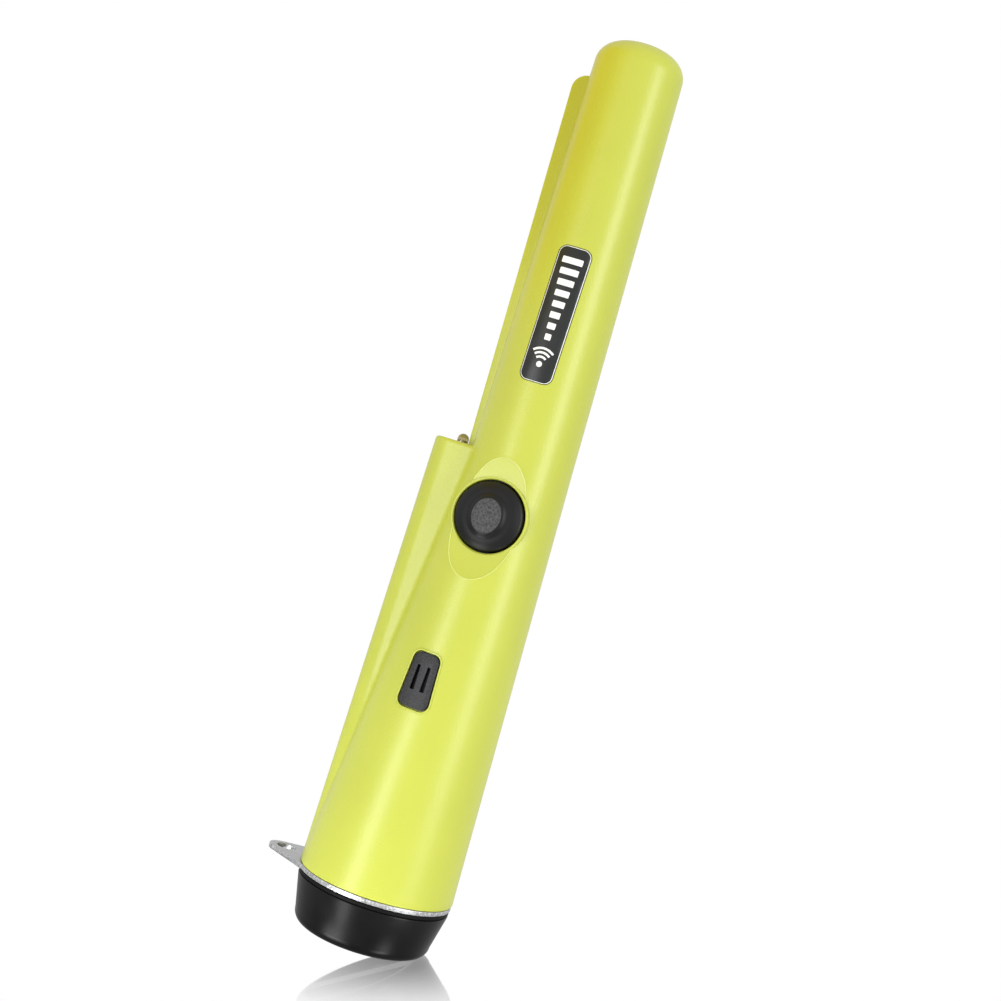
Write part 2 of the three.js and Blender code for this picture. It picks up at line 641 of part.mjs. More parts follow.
// A part that lies on the board's front face.
function onBoard(x, z, width, height, depth) {
  const y = BOARD_FRONT_Y - STACK;
  return block(x - width / 2, x + width / 2, y - depth, y, z - height / 2, z + height / 2);
}
const controllerZ = buttonZ - 17;
const amplifierZ = buttonZ - 26;
add("controller_chip", onBoard(BOARD_X - 2, controllerZ, 7, 7, 1.6), BLACK);
add("amplifier_chip", onBoard(BOARD_X - 3, amplifierZ, 4, 5, 1.5), BLACK);
add("quartz_crystal", onBoard(BOARD_X + 4.2, amplifierZ, 3.2, 5, 1.4), STEEL);
const capacitorY = BOARD_FRONT_Y - STACK;
add("storage_capacitor", frontRod(2.5, capacitorY - 5, capacitorY, BOARD_X - 2, buttonZ - 33.5, 24), BLACK);

// ---------- power button and switch ----------
const switchFrontY = BOARD_FRONT_Y - STACK - SWITCH_HEIGHT;
const flangeFrontY = panelInnerY + STACK;
const flangeBackY = flangeFrontY + FLANGE_THICKNESS;
const retainerY = flangeBackY + BUTTON_TRAVEL + STACK;
const stemBackY = retainerY + RETAINER_THICKNESS;
const plungerFrontY = stemBackY + STACK;

function button() {
  const crownY = collarY - BUTTON_CROWN;
  const padRadius = BUTTON_PAD_HALF_HEIGHT + 1;
  const profile = [
    [0, -stemBackY], [STEM_RADIUS, -stemBackY], [STEM_RADIUS, -flangeBackY], [flangeRadius, -flangeBackY],
    [flangeRadius, -flangeFrontY], [BUTTON_RADIUS - FIT / 2, -flangeFrontY], [BUTTON_RADIUS - FIT / 2, -collarY],
    [BUTTON_RADIUS - 1, -collarY + 0.9], [padRadius, -crownY - 0.3], [padRadius - 0.8, -crownY], [0, -crownY],
  ];
  const oval = new THREE.Shape().absellipse(
    buttonX, buttonZ, BUTTON_PAD_HALF_WIDTH, BUTTON_PAD_HALF_HEIGHT, 0, 2 * Math.PI
  );
  const pad = frontPrism(oval, crownY - BUTTON_PAD_LIFT, crownY + 1, 8);
  return frontTurned(profile, buttonX, buttonZ, 36).add(pad);
}
add("power_button", button(), RUBBER);

// The retainer fills the cavity behind the flange, and its arms reach the chassis.
function retainer() {
  const plate = frontRod(flangeRadius + 1, retainerY, retainerY + RETAINER_THICKNESS, buttonX, buttonZ, 32);
  const hole = frontRod(STEM_RADIUS + FIT, retainerY - 1, retainerY + 3, buttonX, buttonZ);
  return plate.intersect(envelope(TUBE_WALL + FIT)).subtract(hole);
}
add("button_retainer", retainer(), NATURAL);

function switchBody() {
  const side = SWITCH_SIDE / 2;
  const y = BOARD_FRONT_Y - STACK;
  const body = block(buttonX - side, buttonX + side, switchFrontY, y, buttonZ - side, buttonZ + side);
  return body.subtract(frontRod(PLUNGER_RADIUS + FIT, switchFrontY - 1, y - 0.6, buttonX, buttonZ));
}
add("tact_switch_body", switchBody(), BLACK);
const plungerBackY = BOARD_FRONT_Y - STACK - 0.7 - BUTTON_TRAVEL - STACK;
add("tact_switch_plunger", frontRod(PLUNGER_RADIUS, plungerFrontY, plungerBackY, buttonX, buttonZ), GREY);

// ---------- buzzer behind the grille ----------
const buzzerFrontY = -Math.sqrt(innerRadius(grilleZ + 3) ** 2 - BUZZER_RADIUS ** 2) + FIT;
const buzzerBackY = buzzerFrontY + BUZZER_DEPTH;
const buzzerX = centreX(grilleZ);
function buzzerCase() {
  const inner = BUZZER_RADIUS - BUZZER_WALL;
  const profile = [
    [PORT_RADIUS, -buzzerFrontY], [BUZZER_RADIUS, -buzzerFrontY], [BUZZER_RADIUS, -buzzerBackY],
    [inner, -buzzerBackY], [inner, -buzzerFrontY - BUZZER_WALL], [PORT_RADIUS, -buzzerFrontY - BUZZER_WALL],
    [PORT_RADIUS, -buzzerFrontY],
  ];
  return frontTurned(profile, buzzerX, grilleZ, 24);
}
add("buzzer_case", buzzerCase(), BLACK);
const discY = buzzerFrontY + BUZZER_DEPTH / 2;
add("buzzer_disc", frontRod(BUZZER_RADIUS - BUZZER_WALL - FIT, discY, discY + 0.4, buzzerX, grilleZ, 24), COPPER);
const feltY = buzzerFrontY - FIT - FELT_THICKNESS;
add("grille_felt", frontRod(FELT_RADIUS, feltY, feltY + FELT_THICKNESS, buzzerX, grilleZ, 24), FOAM);

// ---------- vibration motor ----------
const motorX = centreX(controllerZ);
const motorY = chassisBackY + STACK + MOTOR_RADIUS;
const motorZ = buttonZ - 32;
const motorTop = motorZ + MOTOR_LENGTH;
const at = (manifold) => manifold.translate([motorX, motorY, 0]);
add("motor_case", at(rod(MOTOR_RADIUS, motorZ, motorTop).subtract(
  rod(SHAFT_RADIUS + FIT, motorTop - 4, motorTop + 1))), STEEL);
add("motor_shaft", at(rod(SHAFT_RADIUS, motorTop - 3.5, motorTop + SHAFT_OUT, 12)), STEEL);

function eccentricWeight() {
  const z0 = motorTop + 1;
  const z1 = z0 + WEIGHT_LENGTH;
  const whole = rod(WEIGHT_RADIUS, z0, z1);
  const hub = rod(SHAFT_RADIUS + 0.9, z0, z1);
  const cut = block(-5, 5, 0, 5, z0 - 1, z1 + 1);
  return whole.subtract(cut).add(hub).subtract(rod(SHAFT_RADIUS + 0.05, z0 - 1, z1 + 1, 12));
}
add("eccentric_weight", at(eccentricWeight()), COPPER);

// ---------- sensing coil in the tip ----------
const coilInner = ROD_RADIUS + FIT;
const coilCore = coilInner + BOBBIN_WALL;
const flangeOuter = innerRadius(domeZ) - 0.6;
const midZ = (coilZ + coilTop) / 2;
const onAxis = (manifold) => manifold.warp((v) => {
  v[0] += centreX(v[2]);
});
function bobbin() {
  const profile = [[coilInner, coilZ]];
  for (const z of [coilZ, midZ - BOBBIN_FLANGE / 2, coilTop - BOBBIN_FLANGE]) {
    profile.push([flangeOuter, z], [flangeOuter, z + BOBBIN_FLANGE]);
    if (z < coilTop - BOBBIN_FLANGE) profile.push([coilCore, z + BOBBIN_FLANGE]);
    if (z === coilZ) profile.push([coilCore, midZ - BOBBIN_FLANGE / 2]);
    else if (z < coilTop - BOBBIN_FLANGE) profile.push([coilCore, coilTop - BOBBIN_FLANGE]);
  }
  profile.push([coilInner, coilTop], [coilInner, coilZ]);
  return onAxis(turned(profile, 24));
}
add("coil_bobbin", bobbin(), NATURAL);
add("ferrite_rod", onAxis(rod(ROD_RADIUS, coilZ + 1, coilTop - 1, 30)), FERRITE);

function winding(z0, z1) {
  return onAxis(tube(coilCore + FIT, coilCore + FIT + WINDING_DEPTH, z0 + FIT, z1 - FIT, 24));
}
add("transmit_winding", winding(coilZ + BOBBIN_FLANGE, midZ - BOBBIN_FLANGE / 2), COPPER);
add("receive_winding", winding(midZ + BOBBIN_FLANGE / 2, coilTop - BOBBIN_FLANGE), COPPER);
const cushionZ = coilTop + FIT;
add("tip_cushion", onAxis(rod(flangeOuter - 2.4, cushionZ, cushionZ + CUSHION_THICKNESS, 30)), FOAM);

export default group;
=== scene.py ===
"""Fine visual model of the pinpointer probe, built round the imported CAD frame.

Sizes are millimetres until a mesh is made, then metres. +Z runs from the battery cap to the tip, the
front faces -Y, and the lamp hump, scraper fin and lanyard lug are on -X.
"""
import json
import math

import bmesh
import bpy
import numpy as np
from mathutils import Matrix, Vector


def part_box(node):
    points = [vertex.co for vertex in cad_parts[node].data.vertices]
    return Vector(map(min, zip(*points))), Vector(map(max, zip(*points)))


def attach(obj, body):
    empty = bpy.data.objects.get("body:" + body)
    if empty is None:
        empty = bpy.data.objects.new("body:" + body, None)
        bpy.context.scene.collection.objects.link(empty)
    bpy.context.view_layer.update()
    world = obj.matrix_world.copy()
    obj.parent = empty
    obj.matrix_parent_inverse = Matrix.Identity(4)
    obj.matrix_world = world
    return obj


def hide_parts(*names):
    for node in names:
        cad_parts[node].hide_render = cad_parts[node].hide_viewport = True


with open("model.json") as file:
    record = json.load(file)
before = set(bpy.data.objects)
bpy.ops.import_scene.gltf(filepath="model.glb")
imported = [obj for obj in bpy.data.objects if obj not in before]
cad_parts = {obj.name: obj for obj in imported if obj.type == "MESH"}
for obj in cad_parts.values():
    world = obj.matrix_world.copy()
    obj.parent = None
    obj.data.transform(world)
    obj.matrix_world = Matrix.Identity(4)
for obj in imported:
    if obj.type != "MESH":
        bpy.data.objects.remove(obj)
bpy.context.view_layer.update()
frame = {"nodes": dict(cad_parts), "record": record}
MM = 0.001


# ---------------------------------------------------------------- sizes, from the frame
def node_box(node):
    low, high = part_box(node)
    return np.array(low) / MM, np.array(high) / MM


def node_centre(node):
    low, high = node_box(node)
    return (low + high) / 2


HOUSING_LOW, HOUSING_HIGH = node_box("probe_housing")
FOOT_Z = HOUSING_LOW[2]
TIP_Z = HOUSING_HIGH[2]
BASE_R = HOUSING_HIGH[1]
BUTTON_X, BUTTON_Z = node_centre("power_button")[0], node_centre("power_button")[2]
BUTTON_R = 8.85
GRILLE_X, GRILLE_Z = node_centre("speaker_grille")[0], node_centre("speaker_grille")[2]
LABEL_X, LABEL_Z = node_centre("label_panel")[0], node_centre("label_panel")[2]
LAMP_X = node_centre("led_lens")[0]
LAMP_TOP = node_box("led_lens")[1][2]
LAMP_HEIGHT = 2.4
WAIST_Z = LAMP_TOP - LAMP_HEIGHT
WAIST_R = 13.3
WAIST_SHIFT = 2.7
TIP_SHIFT = 0.45
TIP_R = 11.7
DOME = 6.6
DOME_POWER = 0.72
DOME_Z = TIP_Z - DOME
WALL = 2.0
BORE_R = 17.9
BORE_CREST = 16.9
THREAD_PITCH = 3.0
THREAD_HEIGHT = 1.0
BORE_TOP = node_box("battery_cap")[1][2] + 1.0

HUMP_HALF = 7.5
HUMP_CORNER = 5.0
HUMP_TOP_ROUND = 0.9
CREASE_ROUND = 0.5

SCOOP_DEPTH = 2.8
SCOOP_LENGTH = 32.0
SCOOP_RISE = 2.1
SCOOP_BEAD = 0.13
PANEL_WALL = 3.0
COLLAR_HEIGHT = 0.9
COLLAR_R = 10.05
BUTTON_BORE = 9.35
BORE_LEAD_IN = 0.3
FLANGE_POCKET_R = 9.9
BUTTON_OVAL = 0.14
LAMP_R = 1.5
LAMP_FLANGE_R = 1.9
LAMP_HOLE_R = 1.65
SOUND_PORT_R = 2.4

PLATE_GAP = 0.28
LABEL_SEAT, GRILLE_SEAT = 0.9, 1.3
SMALL_INSET = 0.3


def axis_x(z):
    """The leaning centre line's X at a height."""
    z = np.asarray(z, float)
    low = WAIST_SHIFT * (z - FOOT_Z) / (WAIST_Z - FOOT_Z)
    high = WAIST_SHIFT + (TIP_SHIFT - WAIST_SHIFT) * (z - WAIST_Z) / (TIP_Z - WAIST_Z)
    return np.where(z < WAIST_Z, low, high)


def body_r(z):
    """The body's radius: a cone below the waist, a slimmer cone above it."""
    z = np.asarray(z, float)
    low = BASE_R + (WAIST_R - BASE_R) * (z - FOOT_Z) / (WAIST_Z - FOOT_Z)
    high = WAIST_R + (TIP_R - WAIST_R) * (z - WAIST_Z) / (DOME_Z - WAIST_Z)
    return np.maximum(low, high)


SCOOP_FLOOR_Y = -float(body_r(BUTTON_Z)) + SCOOP_DEPTH
SCOOP_R = (SCOOP_LENGTH**2 / 4 + SCOOP_DEPTH**2) / (2 * SCOOP_DEPTH)
SCOOP_Y, SCOOP_Z = SCOOP_FLOOR_Y - SCOOP_R, BUTTON_Z + SCOOP_RISE
COLLAR_Y = SCOOP_FLOOR_Y - COLLAR_HEIGHT
PANEL_Y = SCOOP_FLOOR_Y + PANEL_WALL


# ---------------------------------------------------------------- fields
def round_cut(a, b, radius):
    """Intersection of two fields with a rounded edge."""
    inner = np.minimum(-radius, np.maximum(a, b))
    return inner + np.hypot(np.maximum(a + radius, 0), np.maximum(b + radius, 0))


def round_union(a, b, radius):
    """Union of two fields with a fillet."""
    outer = np.maximum(radius, np.minimum(a, b))
    return outer - np.hypot(np.maximum(radius - a, 0), np.maximum(radius - b, 0))


def outer_field(x, y, z):
    """Negative inside the housing's outer form: the body and the lamp hump."""
    body = np.hypot(x - axis_x(z), y) - body_r(z)
    half_x = BASE_R / 2
    dx = np.abs(x + half_x) - (half_x - HUMP_CORNER)
    dy = np.abs(y) - (HUMP_HALF - HUMP_CORNER)
    outside = np.hypot(np.maximum(dx, 0), np.maximum(dy, 0))
    section = outside + np.minimum(np.maximum(dx, dy), 0) - HUMP_CORNER
    hump = round_cut(section, z - WAIST_Z, HUMP_TOP_ROUND)
    form = round_union(body, hump, CREASE_ROUND)
    return round_cut(form, FOOT_Z - z, 0.4)


def inner_field(x, y, z):
    """Negative inside the housing's hollow."""
    body = np.hypot(x - axis_x(z), y) - body_r(z) + WALL
    panel = SCOOP_R + PANEL_WALL - np.hypot(y - SCOOP_Y, z - SCOOP_Z)
    return round_cut(body, panel, 1.0)


def ray_radius(field, angles, heights, far=30.0, near=4.0):
    """How far out a field's surface lies from the centre line, on a grid of angles and heights."""
    a, z = np.meshgrid(angles, heights)
    cx = axis_x(z)

    def inside(r):
        return field(cx + r * np.cos(a), r * np.sin(a), z) < 0

    high = np.full(a.shape, far)
    low = np.full(a.shape, near)
    found = np.zeros(a.shape, bool)
    for r in np.linspace(far, near, 66):
        hit = inside(np.full(a.shape, r)) & ~found
        low[hit] = r
        high[hit] = r + (far - near) / 65
        found |= hit
    for _ in range(22):
        mid = (low + high) / 2
        hit = inside(mid)
        low = np.where(hit, mid, low)
        high = np.where(hit, high, mid)
    return (low + high) / 2


# ---------------------------------------------------------------- mesh helpers
def new_object(name, vertices, faces, smooth=True, sharp=40.0):
    """A mesh object from millimetre vertices, with its faces pointing out."""
    mesh = bpy.data.meshes.new(name)
    mesh.from_pydata((np.asarray(vertices, float) * MM).tolist(), [], [list(map(int, f)) for f in faces])
    obj = bpy.data.objects.new(name, mesh)
    bpy.context.scene.collection.objects.link(obj)
    tidy(obj, smooth, sharp)
    return obj


def tidy(obj, smooth=True, sharp=40.0):
    bm = bmesh.new()
    bm.from_mesh(obj.data)
    bmesh.ops.remove_doubles(bm, verts=bm.verts, dist=2e-6)
    bmesh.ops.recalc_face_normals(bm, faces=bm.faces)
    bm.to_mesh(obj.data)
    bm.free()
    shade(obj, smooth, sharp)


def shade(obj, smooth=True, sharp=40.0):
    obj.data.shade_smooth() if smooth else obj.data.shade_flat()
    if smooth:
        obj.data.set_sharp_from_angle(angle=math.radians(sharp))


def settle(obj):
    """Replaces an object's mesh by its evaluated one, with no modifiers left."""
    graph = bpy.context.evaluated_depsgraph_get()
    mesh = bpy.data.meshes.new_from_object(obj.evaluated_get(graph))
    obj.modifiers.clear()
    obj.data = mesh
    return obj


def boolean(obj, tools, operation):
    """Joins or cuts an object with other objects, which are used up."""
    for tool in tools:
        modifier = obj.modifiers.new("boolean", "BOOLEAN")
        modifier.operation = operation
        modifier.solver = "EXACT"
        modifier.object = tool
        bpy.context.view_layer.update()
        settle(obj)
        bpy.data.objects.remove(tool)
    return obj


def bevel(obj, width, segments=3, angle=35.0):
    modifier = obj.modifiers.new("bevel", "BEVEL")
    modifier.width = width * MM
    modifier.segments = segments
    modifier.limit_method = "ANGLE"
    modifier.angle_limit = math.radians(angle)
    modifier.harden_normals = False
    settle(obj)
    shade(obj)
    return obj


def grid_faces(rows, columns, first=0):
    """Faces of a closed strip of rows that wrap round."""
    faces = []
    for i in range(rows - 1):
        a, b = first + i * columns, first + (i + 1) * columns
        for j in range(columns):
            k = (j + 1) % columns
            faces.append((a + j, a + k, b + k, b + j))
    return faces


def turned(name, profile, segments=96, place=None, sharp=40.0):
    """A profile of (radius, height) points turned about Z, or about `place`'s own axes."""
    vertices, rings = [], []
    for radius, height in profile:
        if radius < 1e-6:
            rings.append([len(vertices)] * segments)
            vertices.append((0, 0, height))
            continue
        rings.append(list(range(len(vertices), len(vertices) + segments)))
        for k in range(segments):
            turn = 2 * math.pi * k / segments
            vertices.append((radius * math.cos(turn), radius * math.sin(turn), height))
    faces = []
    for low, high in zip(rings, rings[1:]):
        for k in range(segments):
            face = [low[k], low[(k + 1) % segments], high[(k + 1) % segments], high[k]]
            face = list(dict.fromkeys(face))
            if len(face) > 2:
                faces.append(face)
    points = np.array(vertices)
    if place is not None:
        points = place(points)
    return new_object(name, points, faces, sharp=sharp)


def standing_at(x, z=0.0):
    """Moves a lathe's axis to a place on the body, still along Z."""
    return lambda p: p + np.array([x, 0, z])


def facing_front(x, z):
    """Turns a lathe's axis to run out of the front, at a place on the body."""
    return lambda p: np.c_[x + p[:, 0], -p[:, 2], z + p[:, 1]]


def arc(cx, cy, radius, start, end, steps=6):
    turns = np.radians(np.linspace(start, end, steps + 1))
    return [(cx + radius * math.cos(t), cy + radius * math.sin(t)) for t in turns]


def rounded_profile(points, radii, steps=4):
    """Rounds the corners of an open polyline of (radius, height) points."""
    out = [points[0]]
    for i in range(1, len(points) - 1):
        p = Vector(points[i])
        a, b = Vector(points[i - 1]) - p, Vector(points[i + 1]) - p
        cut = min(radii[i], 0.45 * a.length, 0.45 * b.length)
        if cut <= 0:
            out.append(tuple(p))
            continue
        start, end = p + a.normalized() * cut, p + b.normalized() * cut
        for k in range(steps + 1):
            t = k / steps
            out.append(tuple(start * (1 - t) ** 2 + p * 2 * t * (1 - t) + end * t * t))
    out.append(points[-1])
    return out


def helix_ridge(name, wall_r, crest_r, z0, turns, phase, pitch=THREAD_PITCH, base=1.3, crest=0.8):
    """A closed right-handed screw ridge."""
    per_turn = 72
    steps = round(turns * per_turn)
    sink = 0.3 * np.sign(wall_r - crest_r)
    section = [(wall_r + sink, -base / 2), (crest_r, -crest / 2),
               (crest_r, crest / 2), (wall_r + sink, base / 2)]
    vertices = []
    for i in range(steps + 1):
        turn = 2 * math.pi * i / per_turn + phase
        fade = min(1.0, i / 10, (steps - i) / 10)
        for k, (radius, dz) in enumerate(section):
            r = radius if k in (0, 3) else wall_r + (crest_r - wall_r) * max(fade, 0.05)
            vertices.append((r * math.cos(turn), r * math.sin(turn), z0 + pitch * i / per_turn + dz))
    faces = [(4 * i + k, 4 * i + (k + 1) % 4, 4 * i + 4 + (k + 1) % 4, 4 * i + 4 + k)
             for i in range(steps) for k in range(4)]
    last = 4 * steps
    faces += [(0, 1, 2, 3), (last, last + 1, last + 2, last + 3)]
    return new_object(name, vertices, faces)


# ---------------------------------------------------------------- plates that follow the body
def on_body(x, z, lift):
    """The point in front of (x, z) that lies `lift` above the body's round surface."""
    radius = body_r(z) + lift
    return -np.sqrt(np.maximum(radius**2 - (x - axis_x(z)) ** 2, 0.01))


def body_plate(name, outline, layers, sharp=40.0):
    """A closed plate that follows the body. Layers are (inset, lift) rings from the back centre to the
    front centre. An inset of None is the centre point, one up to SMALL_INSET is in millimetres, and a
    larger one is a share of the way to the centre."""
    outline = np.array(outline)
    centre = outline.mean(0)
    away = outline - centre
    size = np.linalg.norm(away, axis=1, keepdims=True)
    vertices, rings = [], []
    for inset, lift in layers:
        if inset is None:
            rings.append([len(vertices)] * len(outline))
            vertices.append((centre[0], on_body(centre[0], centre[1], lift), centre[1]))
            continue
        share = inset if inset > SMALL_INSET else inset / size
        scaled = centre + away * (1 - share)
        rings.append(list(range(len(vertices), len(vertices) + len(outline))))
        for x, z in scaled:
            vertices.append((x, on_body(x, z, lift), z))
    faces = []
    for low, high in zip(rings, rings[1:]):
        for k in range(len(outline)):
            n = (k + 1) % len(outline)
            face = list(dict.fromkeys([low[k], low[n], high[n], high[k]]))
            if len(face) > 2:
                faces.append(face)
    return new_object(name, vertices, faces, sharp=sharp)


def fill_layers(back, front, edge=0.12, rings=(0.35, 0.5, 0.65, 0.8, 0.92)):
    """Layers of a plate between two lifts, with a small rounded front edge and an even fill."""
    layers = [(None, back)] + [(r, back) for r in reversed(rings)] + [(0.0, back)]
    layers += [(0.0, front - edge), (edge * 0.3, front - edge * 0.3), (edge, front)]
    return layers + [(r, front) for r in rings] + [(None, front)]


def dense(outline, step=0.5):
    """Extra points along an outline's straight stretches."""
    points = []
    for a, b in zip(outline, outline[1:] + outline[:1]):
        count = max(1, round(math.dist(a, b) / step))
        points += [(a[0] + (b[0] - a[0]) * i / count, a[1] + (b[1] - a[1]) * i / count)
                   for i in range(count)]
    return points


def rounded_trapezoid(x, z, top, bottom, height, corner, grow=0.0, steps=8):
    corner, t, b, h = corner + grow, top / 2 + grow, bottom / 2 + grow, height / 2 + grow
    points = arc(x + t - corner, z + h - corner, corner, 0, 90, steps)
    points += arc(x - t + corner, z + h - corner, corner, 90, 180, steps)
    points += arc(x - b + corner, z - h + corner, corner, 180, 270, steps)
    points += arc(x + b - corner, z - h + corner, corner, 270, 360, steps)
    return dense(points)


LABEL_W, LABEL_H, LABEL_CORNER = 8.3, 35.0, 2.0
GRILLE_TOP, GRILLE_BOTTOM, GRILLE_H, GRILLE_CORNER = 7.0, 8.2, 14.1, 1.9
SLOT_TOP, SLOT_BOTTOM, SLOT_LENGTH, SLOT_CORNER = 0.85, 1.2, 6.4, 0.15
SLOT_ASIDE, SLOT_RISE = 1.4, 0.6

DOT_BELOW, DOT_R = 13.0, 0.75
WAVE_RADII, WAVE_HALF = (1.9, 3.0, 4.1), 0.28
LEVELS, LEVEL_FIRST, LEVEL_STEP, LEVEL_HEIGHT = 8, -5.9, 2.85, 1.6
LEVEL_HALF, LEVEL_GROWTH = 0.8, 0.27


def label_outline(grow=0.0):
    return rounded_trapezoid(LABEL_X, LABEL_Z, LABEL_W, LABEL_W, LABEL_H, LABEL_CORNER, grow)


def grille_outline(grow=0.0):
    return rounded_trapezoid(GRILLE_X, GRILLE_Z, GRILLE_TOP, GRILLE_BOTTOM, GRILLE_H, GRILLE_CORNER, grow)


# ---------------------------------------------------------------- materials
def linear(red, green, blue):
    """A linear colour from 0-255 screen values."""
    def channel(v):
        v /= 255
        return v / 12.92 if v <= 0.04045 else ((v + 0.055) / 1.055) ** 2.4
    return (channel(red), channel(green), channel(blue), 1.0)


def material(name, colour, roughness=0.5, metallic=0.0, specular=0.5, grain=(3000.0, 0.0),
             mottle=(60.0, 0.05), rough_spread=0.08, **sockets):
    """A procedural material: a mottled colour, uneven roughness and a fine surface grain.
    grain and mottle are (scale, strength)."""
    mat = bpy.data.materials.new(name)
    mat.use_nodes = True
    tree = mat.node_tree
    shader = tree.nodes["Principled BSDF"]
    shader.inputs["Metallic"].default_value = metallic
    shader.inputs["Specular IOR Level"].default_value = specular
    for key, value in sockets.items():
        shader.inputs[key.replace("_", " ")].default_value = value
    place = tree.nodes.new("ShaderNodeTexCoord")
    cloud = tree.nodes.new("ShaderNodeTexNoise")
    cloud.inputs["Scale"].default_value = mottle[0]
    cloud.inputs["Detail"].default_value = 3.0
    tree.links.new(place.outputs["Object"], cloud.inputs["Vector"])
    ramp = tree.nodes.new("ShaderNodeValToRGB")
    dark = [c * (1 - mottle[1]) for c in colour[:3]] + [1.0]
    light = [min(1.0, c * (1 + mottle[1])) for c in colour[:3]] + [1.0]
    ramp.color_ramp.elements[0].position, ramp.color_ramp.elements[0].color = 0.3, dark
    ramp.color_ramp.elements[1].position, ramp.color_ramp.elements[1].color = 0.7, light
    tree.links.new(cloud.outputs["Fac"], ramp.inputs["Fac"])
    tree.links.new(ramp.outputs["Color"], shader.inputs["Base Color"])
    speck = tree.nodes.new("ShaderNodeTexNoise")
    speck.inputs["Scale"].default_value = grain[0]
    speck.inputs["Detail"].default_value = 2.0
    tree.links.new(place.outputs["Object"], speck.inputs["Vector"])
    spread = tree.nodes.new("ShaderNodeMapRange")
    spread.inputs["To Min"].default_value = max(0.02, roughness - rough_spread)
    spread.inputs["To Max"].default_value = min(1.0, roughness + rough_spread)
    tree.links.new(cloud.outputs["Fac"], spread.inputs["Value"])
    tree.links.new(spread.outputs["Result"], shader.inputs["Roughness"])
    if grain[1] > 0:
        bump = tree.nodes.new("ShaderNodeBump")
        bump.inputs["Strength"].default_value = grain[1]
        bump.inputs["Distance"].default_value = 0.00005
        tree.links.new(speck.outputs["Fac"], bump.inputs["Height"])
        tree.links.new(bump.outputs["Normal"], shader.inputs["Normal"])
    return mat


LIME = material("lime_moulding", linear(189, 196, 74), 0.33, specular=0.5,
                grain=(1900, 1.0), mottle=(35, 0.03),
                rough_spread=0.05, Subsurface_Weight=0.12, Subsurface_Radius=(0.004, 0.004, 0.001),
                Subsurface_Scale=0.5)
# Paler than the lime moulding: a painted highlight for the bright line along the scoop's edge bead.
PAINTED_EDGE_HIGHLIGHT = material("painted_edge_highlight", linear(214, 220, 120), 0.25, grain=(2000, 0.1), mottle=(35, 0.03))
BLACK = material("black_cap_plastic", linear(14, 14, 15), 0.3, specular=0.18,
                 grain=(2200, 0.3), mottle=(200, 0.2),
                 rough_spread=0.06)
BUTTON = material("soft_button", linear(15, 15, 16), 0.42, specular=0.32,
                  grain=(1800, 0.25), mottle=(300, 0.1))
STIPPLE = material("stippled_pad", linear(70, 70, 71), 0.62, specular=0.3,
                   grain=(2600, 1.0), mottle=(1700, 0.6))
SEAL = material("seal_rubber", linear(8, 8, 8), 0.6, specular=0.15, grain=(2500, 0.2), mottle=(400, 0.1))
GRILLE = material("grille_plastic", linear(50, 50, 52), 0.5, specular=0.3,
                  grain=(2600, 0.8), mottle=(2600, 0.5))
LABEL = material("label_panel", linear(40, 42, 42), 0.34, specular=0.3,
                 grain=(2500, 0.1), mottle=(300, 0.06))
MARK = material("white_ink", linear(236, 238, 236), 0.5, grain=(2500, 0.1), mottle=(500, 0.03))
STEEL = material("stamped_steel", linear(186, 187, 188), 0.34, metallic=1.0,
                 grain=(900, 0.3), mottle=(300, 0.06),
                 rough_spread=0.06)
SHEARED = material("sheared_steel", linear(200, 201, 202), 0.4, metallic=1.0,
                   grain=(1500, 1.0), mottle=(1900, 0.45),
                   rough_spread=0.14)
PLATED = material("nickel_plate", linear(190, 188, 182), 0.25, metallic=1.0,
                  grain=(2000, 0.1), mottle=(300, 0.05))
COPPER = material("copper_wire", linear(176, 96, 52), 0.35, metallic=1.0,
                  grain=(4000, 0.6), mottle=(500, 0.1))
LENS = material("lamp_epoxy", linear(196, 182, 128), 0.06, mottle=(300, 0.02), rough_spread=0.02,
                Transmission_Weight=0.85, IOR=1.5)
FOAM = material("closed_foam", linear(70, 70, 72), 0.95, grain=(1500, 1.0), mottle=(1200, 0.3))
NYLON = material("natural_nylon", linear(224, 220, 206), 0.5, grain=(2200, 0.2), mottle=(120, 0.04))
BOARD = material("solder_mask", linear(30, 104, 56), 0.35, grain=(1500, 0.2), mottle=(500, 0.15))
FERRITE = material("sintered_ferrite", linear(58, 58, 62), 0.7, grain=(2500, 0.7), mottle=(600, 0.15))
JACKET = material("battery_sleeve", linear(46, 82, 140), 0.3, grain=(1200, 0.15), mottle=(60, 0.05))
RED = material("red_insulation", linear(178, 34, 28), 0.4, grain=(2000, 0.1), mottle=(200, 0.06))

SLOT_MATERIALS = {
    "lime": LIME, "black_plastic": BLACK, "button_rubber": BUTTON, "seal_rubber": SEAL, "grille_grey": GRILLE,
    "label_black": LABEL, "lens": LENS, "stamped_steel": STEEL, "small_steel": PLATED, "copper": COPPER,
    "board_green": BOARD, "ferrite": FERRITE, "foam": FOAM, "natural_plastic": NYLON,
    "battery_jacket": JACKET,
    "wire_red": RED,
}


def piece(obj, mat, body, slot, *nodes):
    """Gives a finished piece its material and the body it rides on, and hides the CAD nodes it stands for."""
    obj.data.materials.clear()
    obj.data.materials.append(mat)
    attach(obj, body)
    if nodes:
        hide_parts(*nodes)
    return obj


# ---------------------------------------------------------------- housing
def column_angles(count=300):
    """Angles round the body, closer together at the hump's edges and over the front."""
    fine = np.linspace(0, 2 * math.pi, 20001)
    density = np.ones_like(fine)
    hump_edge = 0.5
    for centre, width, gain in ((math.pi - hump_edge, 0.2, 1.8), (math.pi + hump_edge, 0.2, 1.8),
                                (1.5 * math.pi, 0.75, 0.9)):
        density += gain * np.exp(-(((fine - centre) / width) ** 2))
    total = np.concatenate([[0], np.cumsum((density[1:] + density[:-1]) / 2)])
    return np.interp(np.arange(count) / count * total[-1], total, fine)


